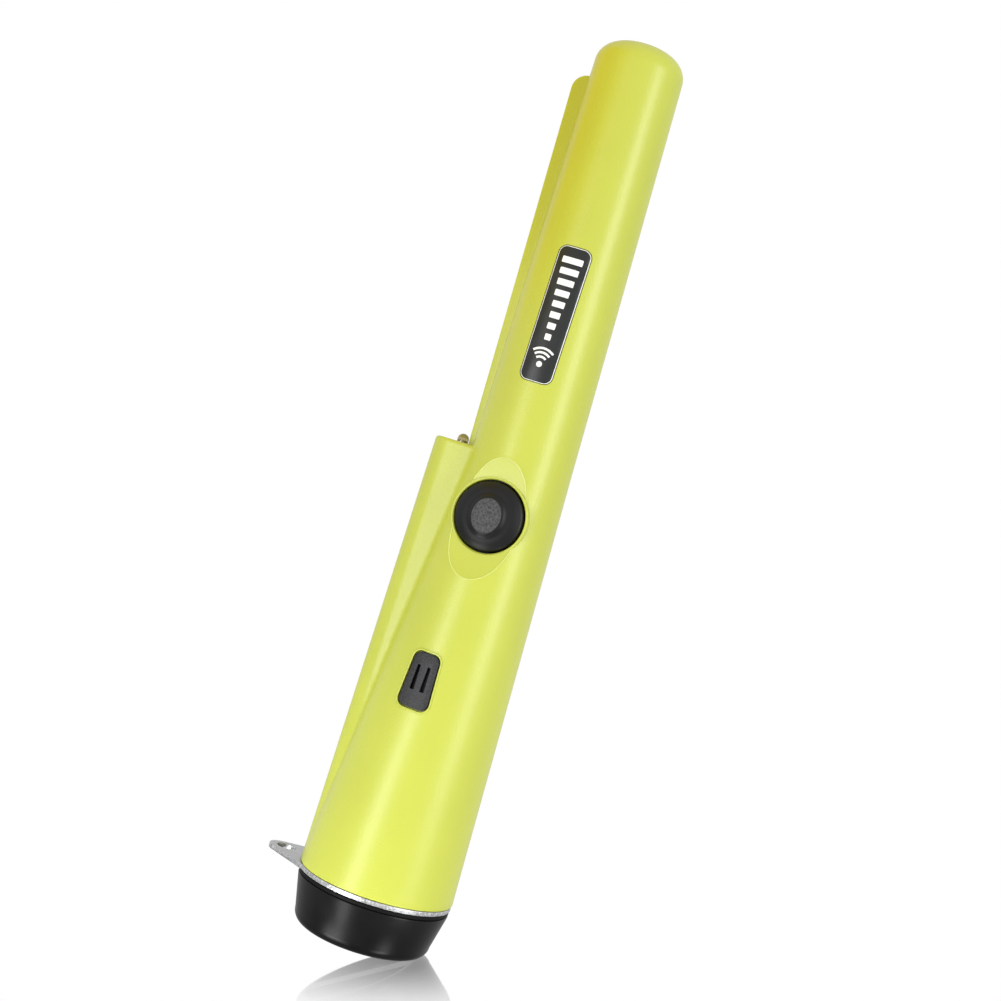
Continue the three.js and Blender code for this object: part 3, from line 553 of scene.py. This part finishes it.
def row_heights():
    """Heights up the body, closer together at the foot, the scoop and the hump's top."""
    foot = FOOT_Z + np.array([0.0, 0.06, 0.2, 0.42])
    handle = np.arange(FOOT_Z + 2, BUTTON_Z - 18, 2.0)
    scoop = np.arange(BUTTON_Z - 17.6, WAIST_Z - 1.1, 0.45)
    edge = np.array([0.03, 0.1, 0.2, 0.32, 0.46, 0.62, 0.8, 1.0])
    tube = np.arange(WAIST_Z + 2.5, DOME_Z - 1.5, 3.0)
    return np.concatenate([foot, handle, scoop, WAIST_Z - edge[::-1], WAIST_Z + edge[:6], tube, [DOME_Z]])


def shell_surface(field, angles, heights, inset, dome_steps):
    """Rows of points up the body and over the tip's dome, without the pole."""
    radius = ray_radius(field, angles, heights)
    rows = []
    for z, ring in zip(heights, radius):
        cx = float(axis_x(z))
        rows.append(np.c_[cx + ring * np.cos(angles), ring * np.sin(angles), np.full(angles.size, z)])
    for i in range(1, dome_steps):
        turn = math.pi / 2 * i / dome_steps
        r = (TIP_R - inset) * math.cos(turn) ** DOME_POWER
        z = DOME_Z + (DOME - inset) * math.sin(turn)
        cx = float(axis_x(z))
        rows.append(np.c_[cx + r * np.cos(angles), r * np.sin(angles), np.full(angles.size, z)])
    return rows


def housing_shell():
    """The moulding's outer form and its hollow, as one closed surface with an open foot."""
    angles = column_angles()
    count = angles.size
    outer = shell_surface(outer_field, angles, row_heights(), 0.0, 14)
    inner_rows = np.concatenate([[BORE_TOP + 0.6], np.arange(BORE_TOP + 6, DOME_Z - 4, 3.0), [DOME_Z]])
    inner = shell_surface(inner_field, angles, inner_rows, WALL, 8)
    bore = []
    for r, z in ((BORE_R + 0.3, FOOT_Z), (BORE_R, FOOT_Z + 0.3), (BORE_R, BORE_TOP)):
        bore.append(np.c_[r * np.cos(angles), r * np.sin(angles), np.full(count, z)])
    strip = list(reversed(outer)) + bore + inner
    vertices = np.concatenate(strip)
    faces = grid_faces(len(strip), count)
    poles = np.array([[axis_x(TIP_Z), 0, TIP_Z], [axis_x(TIP_Z), 0, TIP_Z - WALL]])
    first, last = len(vertices), len(vertices) + 1
    end = len(vertices) - count
    faces += [(first, (j + 1) % count, j) for j in range(count)]
    faces += [(last, end + j, end + (j + 1) % count) for j in range(count)]
    return new_object("housing_moulding", np.concatenate([vertices, poles]), faces, sharp=38.0)


FIN_THICKNESS = 3.0
FIN_BELOW_TIP = 10.7
FIN_ROOT, FIN_TOP = 1.5, 4.05
FIN_CORNER = 3.8


def prism_y(name, outline, half, sharp=40.0):
    """An outline of (x, z) points, run from -half to +half along Y."""
    n = len(outline)
    vertices = [(x, -half, z) for x, z in outline] + [(x, half, z) for x, z in outline]
    faces = [tuple(range(n)), tuple(range(2 * n - 1, n - 1, -1))]
    faces += [(i, (i + 1) % n, n + (i + 1) % n, n + i) for i in range(n)]
    return new_object(name, vertices, faces, sharp=sharp)


def fin():
    """The scraper blade along the tube's -X side."""
    top = TIP_Z - FIN_BELOW_TIP

    def edge(z, height):
        return float(axis_x(z) - body_r(z)) - height
    root = edge(WAIST_Z, FIN_ROOT)
    outline = [(edge(WAIST_Z, -1.0), WAIST_Z - 3), (edge(top, -1.0), top)]
    outline += arc(edge(top, FIN_TOP) + FIN_CORNER, top - FIN_CORNER, FIN_CORNER, 90, 180, 8)
    outline += [(root, WAIST_Z - 3)]
    return bevel(prism_y("fin", outline, FIN_THICKNESS / 2), 0.55, 4, 50.0)


def scoop():
    """A wide drum that cuts the thumb scoop across the front."""
    drum = [(0, -BASE_R), (SCOOP_R, -BASE_R), (SCOOP_R, BASE_R), (0, BASE_R)]
    return turned("scoop", drum, 720, lambda p: np.c_[p[:, 2], SCOOP_Y + p[:, 0], SCOOP_Z + p[:, 1]])


def scoop_edge():
    """A fine bead along the scoop's edge, where it leaves the body. Its paler colour is a painted highlight
    line along that edge.
    """
    z = np.linspace(SCOOP_Z - 20, SCOOP_Z + 20, 4001)
    y = SCOOP_Y + np.sqrt(SCOOP_R**2 - (z - SCOOP_Z) ** 2)
    room = body_r(z) ** 2 - y**2
    z, y, room = z[room > 0], y[room > 0], np.sqrt(room[room > 0])
    path = np.concatenate([np.c_[axis_x(z) - room, y, z], np.c_[axis_x(z) + room, y, z][::-1]])
    path = even_steps(path, 260)
    ahead = np.roll(path, -1, 0) - np.roll(path, 1, 0)
    ahead /= np.linalg.norm(ahead, axis=1, keepdims=True)
    out = path - np.c_[axis_x(path[:, 2]), np.zeros(len(path)), path[:, 2]]
    side = np.cross(ahead, out)
    side /= np.linalg.norm(side, axis=1, keepdims=True)
    out = np.cross(side, ahead)
    rows = []
    for k in range(9):
        turn = 2 * math.pi * k / 8
        rows.append(path + SCOOP_BEAD * (math.cos(turn) * side + math.sin(turn) * out))
    bead = new_object("scoop_edge", np.concatenate(rows), grid_faces(9, len(path)))
    boolean(bead, [button_bore()], "DIFFERENCE")
    # The bead's paler colour is a painted highlight along the scoop's edge.
    piece(bead, PAINTED_EDGE_HIGHLIGHT, "housing", "lime")


def even_steps(path, count):
    """A closed path's points, spaced evenly."""
    closed = np.concatenate([path, path[:1]])
    run = np.concatenate([[0], np.cumsum(np.linalg.norm(np.diff(closed, axis=0), axis=1))])
    at = np.arange(count) / count * run[-1]
    return np.stack([np.interp(at, run, closed[:, k]) for k in range(3)], axis=1)


def collar():
    profile = [(0, -PANEL_Y - 0.4), (COLLAR_R, -PANEL_Y - 0.4), (COLLAR_R, -COLLAR_Y), (0, -COLLAR_Y)]
    profile = rounded_profile(profile, [0, 0, 0.35, 0], 5)
    return turned("collar", profile, 128, facing_front(BUTTON_X, BUTTON_Z))


def button_bore():
    """The hole through the scoop's floor, with a small lead-in at the collar's edge."""
    mouth = -COLLAR_Y
    profile = [(0, -PANEL_Y - 4), (BUTTON_BORE, -PANEL_Y - 4), (BUTTON_BORE, mouth - 0.25),
               (BUTTON_BORE + BORE_LEAD_IN, mouth + 0.05), (BUTTON_BORE + BORE_LEAD_IN, mouth + 8),
               (0, mouth + 8)]
    return turned("bore", profile, 128, facing_front(BUTTON_X, BUTTON_Z))


def flange_pocket():
    """Room behind the panel for the button's flange."""
    profile = [(0, 0), (FLANGE_POCKET_R, 0), (FLANGE_POCKET_R, -PANEL_Y), (0, -PANEL_Y)]
    return turned("pocket", profile, 96, facing_front(BUTTON_X, BUTTON_Z))


def seat(name, outline, depth):
    """A cutter for a shallow recess that follows the body."""
    rings = (0.35, 0.6, 0.85)
    layers = [(None, -depth)] + [(r, -depth) for r in reversed(rings)] + [(0.0, -depth), (0.0, 3.0)]
    layers += [(r, 3.0) for r in rings] + [(None, 3.0)]
    return body_plate(name, outline, layers)


def vertical_prism(name, outline, z0, z1):
    n = len(outline)
    vertices = [(x, y, z0) for x, y in outline] + [(x, y, z1) for x, y in outline]
    faces = [tuple(range(n - 1, -1, -1)), tuple(range(n, 2 * n))]
    faces += [(i, (i + 1) % n, n + (i + 1) % n, n + i) for i in range(n)]
    return new_object(name, vertices, faces)


def hump_hollow():
    """The hump's hollow, from the contact block's top up to its own wall."""
    outer, inner, half, corner = -BASE_R + WALL, -2, HUMP_HALF - WALL, HUMP_CORNER - WALL
    outline = arc(inner - corner, half - corner, corner, 0, 90)
    outline += arc(outer + corner, half - corner, corner, 90, 180)
    outline += arc(outer + corner, corner - half, corner, 180, 270)
    outline += arc(inner - corner, corner - half, corner, 270, 360)
    return vertical_prism("hollow", outline, node_box("contact_block")[1][2], WAIST_Z - WALL)


def lamp_hole():
    profile = [(0, -WALL - 1), (LAMP_HOLE_R, -WALL - 1), (LAMP_HOLE_R, 1), (0, 1)]
    return turned("hole", profile, 40, standing_at(LAMP_X, WAIST_Z))


def sound_port():
    """The hole behind the grille, from the buzzer out through the wall."""
    back, front = 8, float(body_r(GRILLE_Z)) + 2
    profile = [(0, back), (SOUND_PORT_R, back), (SOUND_PORT_R, front), (0, front)]
    return turned("port", profile, 40, facing_front(GRILLE_X, GRILLE_Z))


def build_housing():
    shell = housing_shell()
    ridge = helix_ridge("ridge", BORE_R, BORE_CREST, FOOT_Z + 1.4, 2.2, math.pi)
    boolean(shell, [scoop()], "DIFFERENCE")
    boolean(shell, [fin(), collar(), ridge], "UNION")
    cutters = [hump_hollow(), flange_pocket(), button_bore(), lamp_hole(), sound_port(),
               seat("label_seat", label_outline(PLATE_GAP), LABEL_SEAT),
               seat("grille_seat", grille_outline(PLATE_GAP), GRILLE_SEAT)]
    boolean(shell, cutters, "DIFFERENCE")
    shade(shell, sharp=16.0)
    piece(shell, LIME, "housing", "lime", "probe_housing")
    scoop_edge()


# ---------------------------------------------------------------- grille, label and lamp
def build_grille():
    plate = body_plate("grille_plate", grille_outline(-0.05), fill_layers(-1.0, 0.0, 0.28))
    for side in (-1, 1):
        slot = rounded_trapezoid(GRILLE_X + side * SLOT_ASIDE, GRILLE_Z + SLOT_RISE,
                                 SLOT_TOP, SLOT_BOTTOM, SLOT_LENGTH, SLOT_CORNER, steps=3)
        boolean(plate, [seat("slot", slot, 3.0)], "DIFFERENCE")
    shade(plate, sharp=36.0)
    piece(plate, GRILLE, "housing", "grille_grey", "speaker_grille")
    felt = body_plate("grille_gauze", grille_outline(-0.3), fill_layers(-1.27, -1.03, 0.05))
    piece(felt, SEAL, "housing", "foam")
    lip = body_ring("grille_lip", grille_outline, 0.32, 0.78, 0.26)
    piece(lip, LIME, "housing", "lime")


def body_ring(name, outline_of, grow_in, grow_out, height):
    """A low rounded ring on the body's surface, between two offsets of an outline."""
    inner, outer = np.array(outline_of(grow_in)), np.array(outline_of(grow_out))
    section = [(0.0, -0.3), (0.0, height * 0.7), (0.3, height), (0.7, height),
               (1.0, height * 0.4), (1.0, -0.3)]
    rows = []
    for share, lift in section:
        ring = inner + (outer - inner) * share
        rows.append(np.array([(x, on_body(x, z, lift), z) for x, z in ring]))
    vertices = np.concatenate(rows + [rows[0]])
    return new_object(name, vertices, grid_faces(len(section) + 1, len(inner)))


def build_label():
    plate = body_plate("label_plate", label_outline(), fill_layers(-0.6, 0.0, 0.12))
    piece(plate, LABEL, "housing", "label_black", "label_panel")
    line = body_ring("label_border", label_outline, -0.13, 0.02, 0.03)
    piece(line, MARK, "housing", "label_black")
    dot_z = LABEL_Z - DOT_BELOW
    marks = [mark("target_dot", arc(LABEL_X, dot_z, DOT_R, 0, 350, 20))]
    for i, radius in enumerate(WAVE_RADII):
        outer_arc = arc(LABEL_X, dot_z, radius + WAVE_HALF, 50, 130, 14)
        inner_arc = arc(LABEL_X, dot_z, radius - WAVE_HALF, 130, 50, 14)
        marks.append(mark(f"wave_{i}", outer_arc + inner_arc))
    for i in range(LEVELS):
        width = 2 * (LEVEL_HALF + LEVEL_GROWTH * i)
        z = LABEL_Z + LEVEL_FIRST + LEVEL_STEP * i
        bar = rounded_trapezoid(LABEL_X, z, width, width, LEVEL_HEIGHT, 0.2, steps=3)
        marks.append(mark(f"level_{i}", bar))
    for obj in marks[1:]:
        join(marks[0], obj)
    marks[0].name = "label_marks"
    piece(marks[0], MARK, "housing", "label_black")


def mark(name, outline):
    """A flat printed shape, a hair above the label."""
    inner = np.array(dense(list(map(tuple, outline)), 0.4))
    n = len(inner)
    front = [(x, on_body(x, z, 0.03), z) for x, z in inner]
    back = [(x, on_body(x, z, -0.1), z) for x, z in inner]
    faces = [tuple(range(n)), tuple(range(2 * n - 1, n - 1, -1))]
    faces += [(i, (i + 1) % n, n + (i + 1) % n, n + i) for i in range(n)]
    obj = new_object(name, front + back, faces, smooth=False)
    bm = bmesh.new()
    bm.from_mesh(obj.data)
    bmesh.ops.triangulate(bm, faces=bm.faces)
    bm.to_mesh(obj.data)
    bm.free()
    return obj


def join(target, other):
    """Adds another object's mesh to the target's."""
    bm = bmesh.new()
    bm.from_mesh(target.data)
    bm.from_mesh(other.data)
    bm.to_mesh(target.data)
    bm.free()
    bpy.data.objects.remove(other)


def build_lamp():
    """The clear lamp, and the small reflector cup inside it."""
    place = standing_at(LAMP_X)
    foot = WAIST_Z - WALL - 1.1
    shoulder = LAMP_TOP - LAMP_R
    dome = arc(0, shoulder, LAMP_R, 0, 90, 10)
    dome[-1] = (0, LAMP_TOP)
    profile = [(0, foot), (LAMP_FLANGE_R, foot), (LAMP_FLANGE_R, foot + 0.9), (LAMP_R, foot + 1.0),
               (LAMP_R, shoulder)] + dome[1:]
    lens = turned("lamp_lens", profile, 48, place)
    piece(lens, LENS, "housing", "lens", "led_lens")
    cup = [(0, foot + 0.2), (0.9, foot + 0.2), (1.0, shoulder - 0.5), (0.85, shoulder - 0.2),
           (0.3, shoulder - 0.7), (0, shoulder - 0.7)]
    piece(turned("lamp_cup", cup, 32, place), PLATED, "housing", "small_steel")


# ---------------------------------------------------------------- button
def build_button():
    """A soft cone with a raised oval pad; it narrows across X towards the top."""
    _, high = node_box("power_button")
    back, rim, crown = -high[1], -COLLAR_Y + 0.35, -COLLAR_Y + 2.6
    flange = high[0] - BUTTON_X
    flange_back, flange_front = -PANEL_Y - 1.0, -PANEL_Y - 0.12
    stem_r, shoulder_r, crown_r = 2.4, 5.6, 4.7
    points = [(0, back), (stem_r, back), (stem_r, flange_back), (flange, flange_back), (flange, flange_front),
              (BUTTON_R, flange_front), (BUTTON_R, rim), (BUTTON_R - 1.6, rim + 1.1),
              (shoulder_r, crown - 0.75), (crown_r, crown), (0, crown)]
    radii = [0, 0.2, 0.2, 0.2, 0.2, 0.2, 0.6, 2.0, 1.0, 0.35, 0]
    front = facing_front(BUTTON_X, BUTTON_Z)

    def squeeze(p):
        share = np.clip((p[:, 2] - rim) / (crown - rim), 0, 1)
        return front(np.c_[p[:, 0] * (1 - BUTTON_OVAL * share), p[:, 1], p[:, 2]])
    cone = turned("button_cone", rounded_profile(points, radii, 5), 96, squeeze, sharp=50.0)
    piece(cone, BUTTON, "button", "button_rubber", "power_button")
    pad_r = 4.45
    pad = rounded_profile([(0, crown - 0.3), (pad_r, crown - 0.3), (pad_r, crown + 0.3), (0, crown + 0.45)],
                          [0, 0.0, 0.25, 0], 4)

    def narrow(p):
        return front(np.c_[p[:, 0] * (1 - BUTTON_OVAL), p[:, 1], p[:, 2]])
    stippled = turned("button_pad", pad, 96, narrow, sharp=50.0)
    piece(stippled, STIPPLE, "button", "button_rubber")


# ---------------------------------------------------------------- ring, gasket and cap
def build_ring():
    """A stamped plate with a lanyard lug; its sheared edge is a little uneven."""
    low, high = node_box("lanyard_ring")
    tip_r, root_half, hole_r = 4.5, 12.0, 2.6
    lug_x = low[0] + tip_r
    root = math.degrees(math.asin(root_half / BASE_R))
    outline = arc(0, 0, BASE_R - 0.15, 180 - root, root - 180, 180)
    reach = lug_x + BASE_R * math.cos(math.radians(root))
    tip_turn = math.degrees(math.atan2(root_half, -reach) + math.acos(tip_r / math.hypot(reach, root_half)))
    outline += arc(lug_x, 0, tip_r, -tip_turn, tip_turn - 360, 40)
    rng = np.random.default_rng(7)
    outline = np.array(dense(outline, 0.4))
    outline = outline * (1 + rng.normal(0, 0.0011, (len(outline), 1)))
    curve = bpy.data.curves.new("lanyard_plate", "CURVE")
    curve.dimensions = "2D"
    curve.fill_mode = "BOTH"
    thickness = high[2] - low[2]
    edge = 0.14
    for points in (outline, arc(0, 0, BORE_R, 0, 357, 119), arc(lug_x, 0, hole_r, 0, 350, 35)):
        spline = curve.splines.new("POLY")
        spline.points.add(len(points) - 1)
        for point, (x, y) in zip(spline.points, points):
            point.co = (x * MM, y * MM, 0, 1)
        spline.use_cyclic_u = True
    curve.extrude = (thickness / 2 - edge) * MM
    curve.bevel_depth = edge * MM
    curve.bevel_resolution = 2
    curve.offset = -edge * MM
    plate = bpy.data.objects.new("lanyard_plate", curve)
    bpy.context.scene.collection.objects.link(plate)
    bpy.context.view_layer.update()
    graph = bpy.context.evaluated_depsgraph_get()
    mesh = bpy.data.meshes.new_from_object(plate.evaluated_get(graph))
    bpy.data.objects.remove(plate)
    mesh.transform(Matrix.Translation((0, 0, (low[2] + high[2]) / 2 * MM)))
    obj = bpy.data.objects.new("lanyard_plate", mesh)
    bpy.context.scene.collection.objects.link(obj)
    tidy(obj, sharp=50.0)
    piece(obj, STEEL, "ring", "stamped_steel", "lanyard_ring")
    obj.data.materials.append(SHEARED)
    for face in obj.data.polygons:
        face.material_index = int(abs(face.normal.z) < 0.6)


def build_gasket():
    low, high = node_box("ring_gasket")
    points = [(BORE_R, low[2]), (high[0], low[2]), (high[0], high[2]), (BORE_R, high[2]), (BORE_R, low[2])]
    gasket = turned("gasket_ring", rounded_profile(points, [0, 0.3, 0.3, 0.1, 0], 4), 128)
    piece(gasket, SEAL, "gasket", "seal_rubber", "ring_gasket")


def build_cap():
    """The screw cap: drafted side, round bottom corner, finger pockets, spigot and thread."""
    low, high = node_box("battery_cap")
    gasket_low = node_box("ring_gasket")[0]
    rim, top = node_box("ring_gasket")[1][0], gasket_low[2] - 0.1
    draft, corner = 2.0, 3.2
    foot = rim - draft
    inner, outer = 15.1, 16.6
    floor = node_box("cap_pad")[0][2] - 0.1
    points = [(0, 0)] + arc(foot - corner, corner, corner, -90, 0, 12)
    points += [(rim, top - 0.45), (rim - 0.12, top - 0.12), (rim - 0.45, top), (outer, top)]
    points += [(outer, high[2] - 0.4), (outer - 0.4, high[2]), (inner + 0.3, high[2])]
    points += [(inner, high[2] - 0.3), (inner, floor), (0, floor)]
    cap = turned("cap_moulding", points, 128)
    ridge = helix_ridge("cap_ridge", outer, outer + THREAD_HEIGHT, FOOT_Z + 1.2, 2.25, 0.0)
    boolean(cap, [ridge], "UNION")
    radius, depth, bar = foot - 3.5, 3.0, 2.5
    for side in (-1, 1):
        angle = math.degrees(math.asin(bar / radius))
        outline = arc(0, 0, radius, angle, 180 - angle, 40)
        outline = [(x, side * y) for x, y in outline]
        pocket = vertical_prism("pocket", outline, -1.0, depth)
        boolean(cap, [bevel(pocket, 0.6, 4, 50.0)], "DIFFERENCE")
    shade(cap, sharp=38.0)
    piece(cap, BLACK, "cap", "black_plastic", "battery_cap")


# ---------------------------------------------------------------- CAD nodes that stay
def dress_nodes():
    """Gives each CAD mesh the material of its record slot."""
    slots = {part["node"]: part["material_slot"] for part in frame["record"]["subparts"]}
    for name, obj in frame["nodes"].items():
        mat = SLOT_MATERIALS[slots[name]]
        if obj.data.materials:
            for i in range(len(obj.data.materials)):
                obj.data.materials[i] = mat
        else:
            obj.data.materials.append(mat)


# ---------------------------------------------------------------- stage
def area_light(name, azimuth, elevation, distance, width, height, power, target=(0, 0, 0.12)):
    """A softbox that looks at a point on the object's axis."""
    a, e = math.radians(azimuth), math.radians(elevation)
    middle = Vector(target)
    back = Vector((math.sin(a) * math.cos(e), -math.cos(a) * math.cos(e), math.sin(e)))
    data = bpy.data.lights.new(name, "AREA")
    data.shape = "RECTANGLE"
    data.size, data.size_y = width, height
    data.energy = power
    obj = bpy.data.objects.new(name, data)
    obj.location = middle + back * distance
    obj.rotation_euler = (-back).to_track_quat("-Z", "Y").to_euler()
    bpy.context.scene.collection.objects.link(obj)


def warm_card():
    """A mustard card off the upper left, out of the eye's sight, that tints the fin and the tip."""
    near, far, low, high = Vector((-36, -88)), Vector((-98, 20)), 178, 320
    corners = [(*near, low), (*far, low), (*far, high), (*near, high)]
    card = new_object("warm_card", corners, [(0, 1, 2, 3)], smooth=False)
    mat = bpy.data.materials.new("mustard_glow")
    mat.use_nodes = True
    tree = mat.node_tree
    tree.nodes.remove(tree.nodes["Principled BSDF"])
    glow = tree.nodes.new("ShaderNodeEmission")
    glow.inputs["Color"].default_value = (1.0, 0.72, 0.04, 1)
    glow.inputs["Strength"].default_value = 1.15
    tree.links.new(glow.outputs[0], tree.nodes["Material Output"].inputs["Surface"])
    card.data.materials.append(mat)
    card.visible_camera = False


FILL = 0.8
LEAN = 17.793
FLOOR_HALF = 3000
PATCH_NEAR, PATCH_FAR, PATCH_GLOSS = 0.004, 0.062, 0.95


def build_world():
    """A white backdrop for the eye, and a slightly dimmer room light that falls off below."""
    world = bpy.data.worlds.new("studio")
    bpy.context.scene.world = world
    world.use_nodes = True
    tree = world.node_tree
    link = tree.links.new
    fill = tree.nodes["Background"]
    fill.inputs["Strength"].default_value = FILL
    place = tree.nodes.new("ShaderNodeTexCoord")
    height = tree.nodes.new("ShaderNodeSeparateXYZ")
    link(place.outputs["Generated"], height.inputs[0])
    dim = tree.nodes.new("ShaderNodeMapRange")
    dim.inputs["From Min"].default_value = -0.6
    dim.inputs["From Max"].default_value = -0.15
    dim.inputs["To Min"].default_value = 0.25
    link(height.outputs["Z"], dim.inputs["Value"])
    link(dim.outputs["Result"], fill.inputs["Color"])
    seen = tree.nodes.new("ShaderNodeBackground")
    seen.inputs["Color"].default_value = (1, 1, 1, 1)
    path = tree.nodes.new("ShaderNodeLightPath")
    mix = tree.nodes.new("ShaderNodeMixShader")
    link(path.outputs["Is Camera Ray"], mix.inputs[0])
    link(fill.outputs[0], mix.inputs[1])
    link(seen.outputs[0], mix.inputs[2])
    link(mix.outputs[0], tree.nodes["World Output"].inputs[0])


def floor_material():
    """Clear, so that the white backdrop shows, with a polished patch by the cap that fades out."""
    mat = bpy.data.materials.new("pale_floor")
    mat.use_nodes = True
    tree = mat.node_tree
    link = tree.links.new
    tree.nodes.remove(tree.nodes["Principled BSDF"])
    place = tree.nodes.new("ShaderNodeTexCoord")
    reach = tree.nodes.new("ShaderNodeVectorMath")
    reach.operation = "LENGTH"
    link(place.outputs["Object"], reach.inputs[0])
    fade = tree.nodes.new("ShaderNodeMapRange")
    fade.interpolation_type = "SMOOTHSTEP"
    fade.inputs["From Min"].default_value = PATCH_NEAR
    fade.inputs["From Max"].default_value = PATCH_FAR
    fade.inputs["To Min"].default_value = PATCH_GLOSS
    fade.inputs["To Max"].default_value = 0.0
    link(reach.outputs["Value"], fade.inputs["Value"])
    clear = tree.nodes.new("ShaderNodeBsdfTransparent")
    lift = tree.nodes.new("ShaderNodeEmission")
    lift.inputs["Strength"].default_value = 1 - FILL
    mirror = tree.nodes.new("ShaderNodeBsdfGlossy")
    mirror.inputs["Roughness"].default_value = 0.04
    mirror.inputs["Color"].default_value = (1, 1, 1, 1)
    polished = tree.nodes.new("ShaderNodeAddShader")
    link(mirror.outputs[0], polished.inputs[0])
    link(lift.outputs[0], polished.inputs[1])
    mix = tree.nodes.new("ShaderNodeMixShader")
    link(fade.outputs["Result"], mix.inputs[0])
    link(clear.outputs[0], mix.inputs[1])
    link(polished.outputs[0], mix.inputs[2])
    link(mix.outputs[0], tree.nodes["Material Output"].inputs["Surface"])
    return mat


def build_stage(up):
    """The probe leans on its cap's edge, so the floor lies square to the camera's upright."""
    bpy.context.scene.view_settings.view_transform = "Standard"
    build_world()
    cap = frame["nodes"]["battery_cap"]
    touch = min((cap.matrix_world @ v.co for v in cap.data.vertices), key=lambda p: p.dot(up))
    half = FLOOR_HALF
    corners = [(-half, -half, 0), (half, -half, 0), (half, half, 0), (-half, half, 0)]
    floor = new_object("studio_floor", corners, [(0, 1, 2, 3)], smooth=False)
    floor.rotation_euler = up.to_track_quat("Z", "Y").to_euler()
    floor.location = touch - up * 0.0002
    floor.data.materials.append(floor_material())
    floor.visible_diffuse = False
    floor.visible_glossy = False
    floor.visible_shadow = False

    area_light("left_strip", -18, -12.4, 0.70, 0.17, 0.50, 2.2)
    area_light("right_strip", 66, 10, 0.75, 0.24, 0.60, 3.1)
    for name, azimuth, width, power in (("low_left", -27, 0.07, 0.16), ("low_right", 62, 0.03, 0.07)):
        area_light(name, azimuth, -39, 0.16, width, 0.07, power, target=(0, 0, 0.006))
    warm_card()


CAMERA_AZIMUTH, CAMERA_DISTANCE, CAMERA_HEIGHT = 15.913, 444.06, 120.21
CAMERA_PAN, CAMERA_PITCH, CAMERA_ROLL = -0.048, -0.286, LEAN
CAMERA_LENS, SENSOR = 62.12, 36.0


def build_camera():
    """A level studio camera, rolled so that the probe leans as it does in the view."""
    a = math.radians(CAMERA_AZIMUTH)
    turn, pitch = a + math.radians(CAMERA_PAN), math.radians(CAMERA_PITCH)
    ahead = Vector((-math.sin(turn) * math.cos(pitch), math.cos(turn) * math.cos(pitch), math.sin(pitch)))
    right = ahead.cross(Vector((0, 0, 1))).normalized()
    up = right.cross(ahead)
    c, s = math.cos(math.radians(CAMERA_ROLL)), math.sin(math.radians(CAMERA_ROLL))
    right, up = c * right + s * up, c * up - s * right
    data = bpy.data.cameras.new("camera")
    data.lens, data.sensor_width = CAMERA_LENS, SENSOR
    data.clip_start, data.clip_end = 0.01, 20
    camera = bpy.data.objects.new("camera", data)
    rotation = Matrix((right, up, -ahead)).transposed()
    place = Vector((CAMERA_DISTANCE * math.sin(a), -CAMERA_DISTANCE * math.cos(a), CAMERA_HEIGHT)) * MM
    camera.matrix_world = Matrix.Translation(place) @ rotation.to_4x4()
    bpy.context.scene.collection.objects.link(camera)
    bpy.context.scene.camera = camera
    return up


build_stage(build_camera())
dress_nodes()
build_housing()
build_grille()
build_label()
build_lamp()
build_button()
build_ring()
build_gasket()
build_cap()
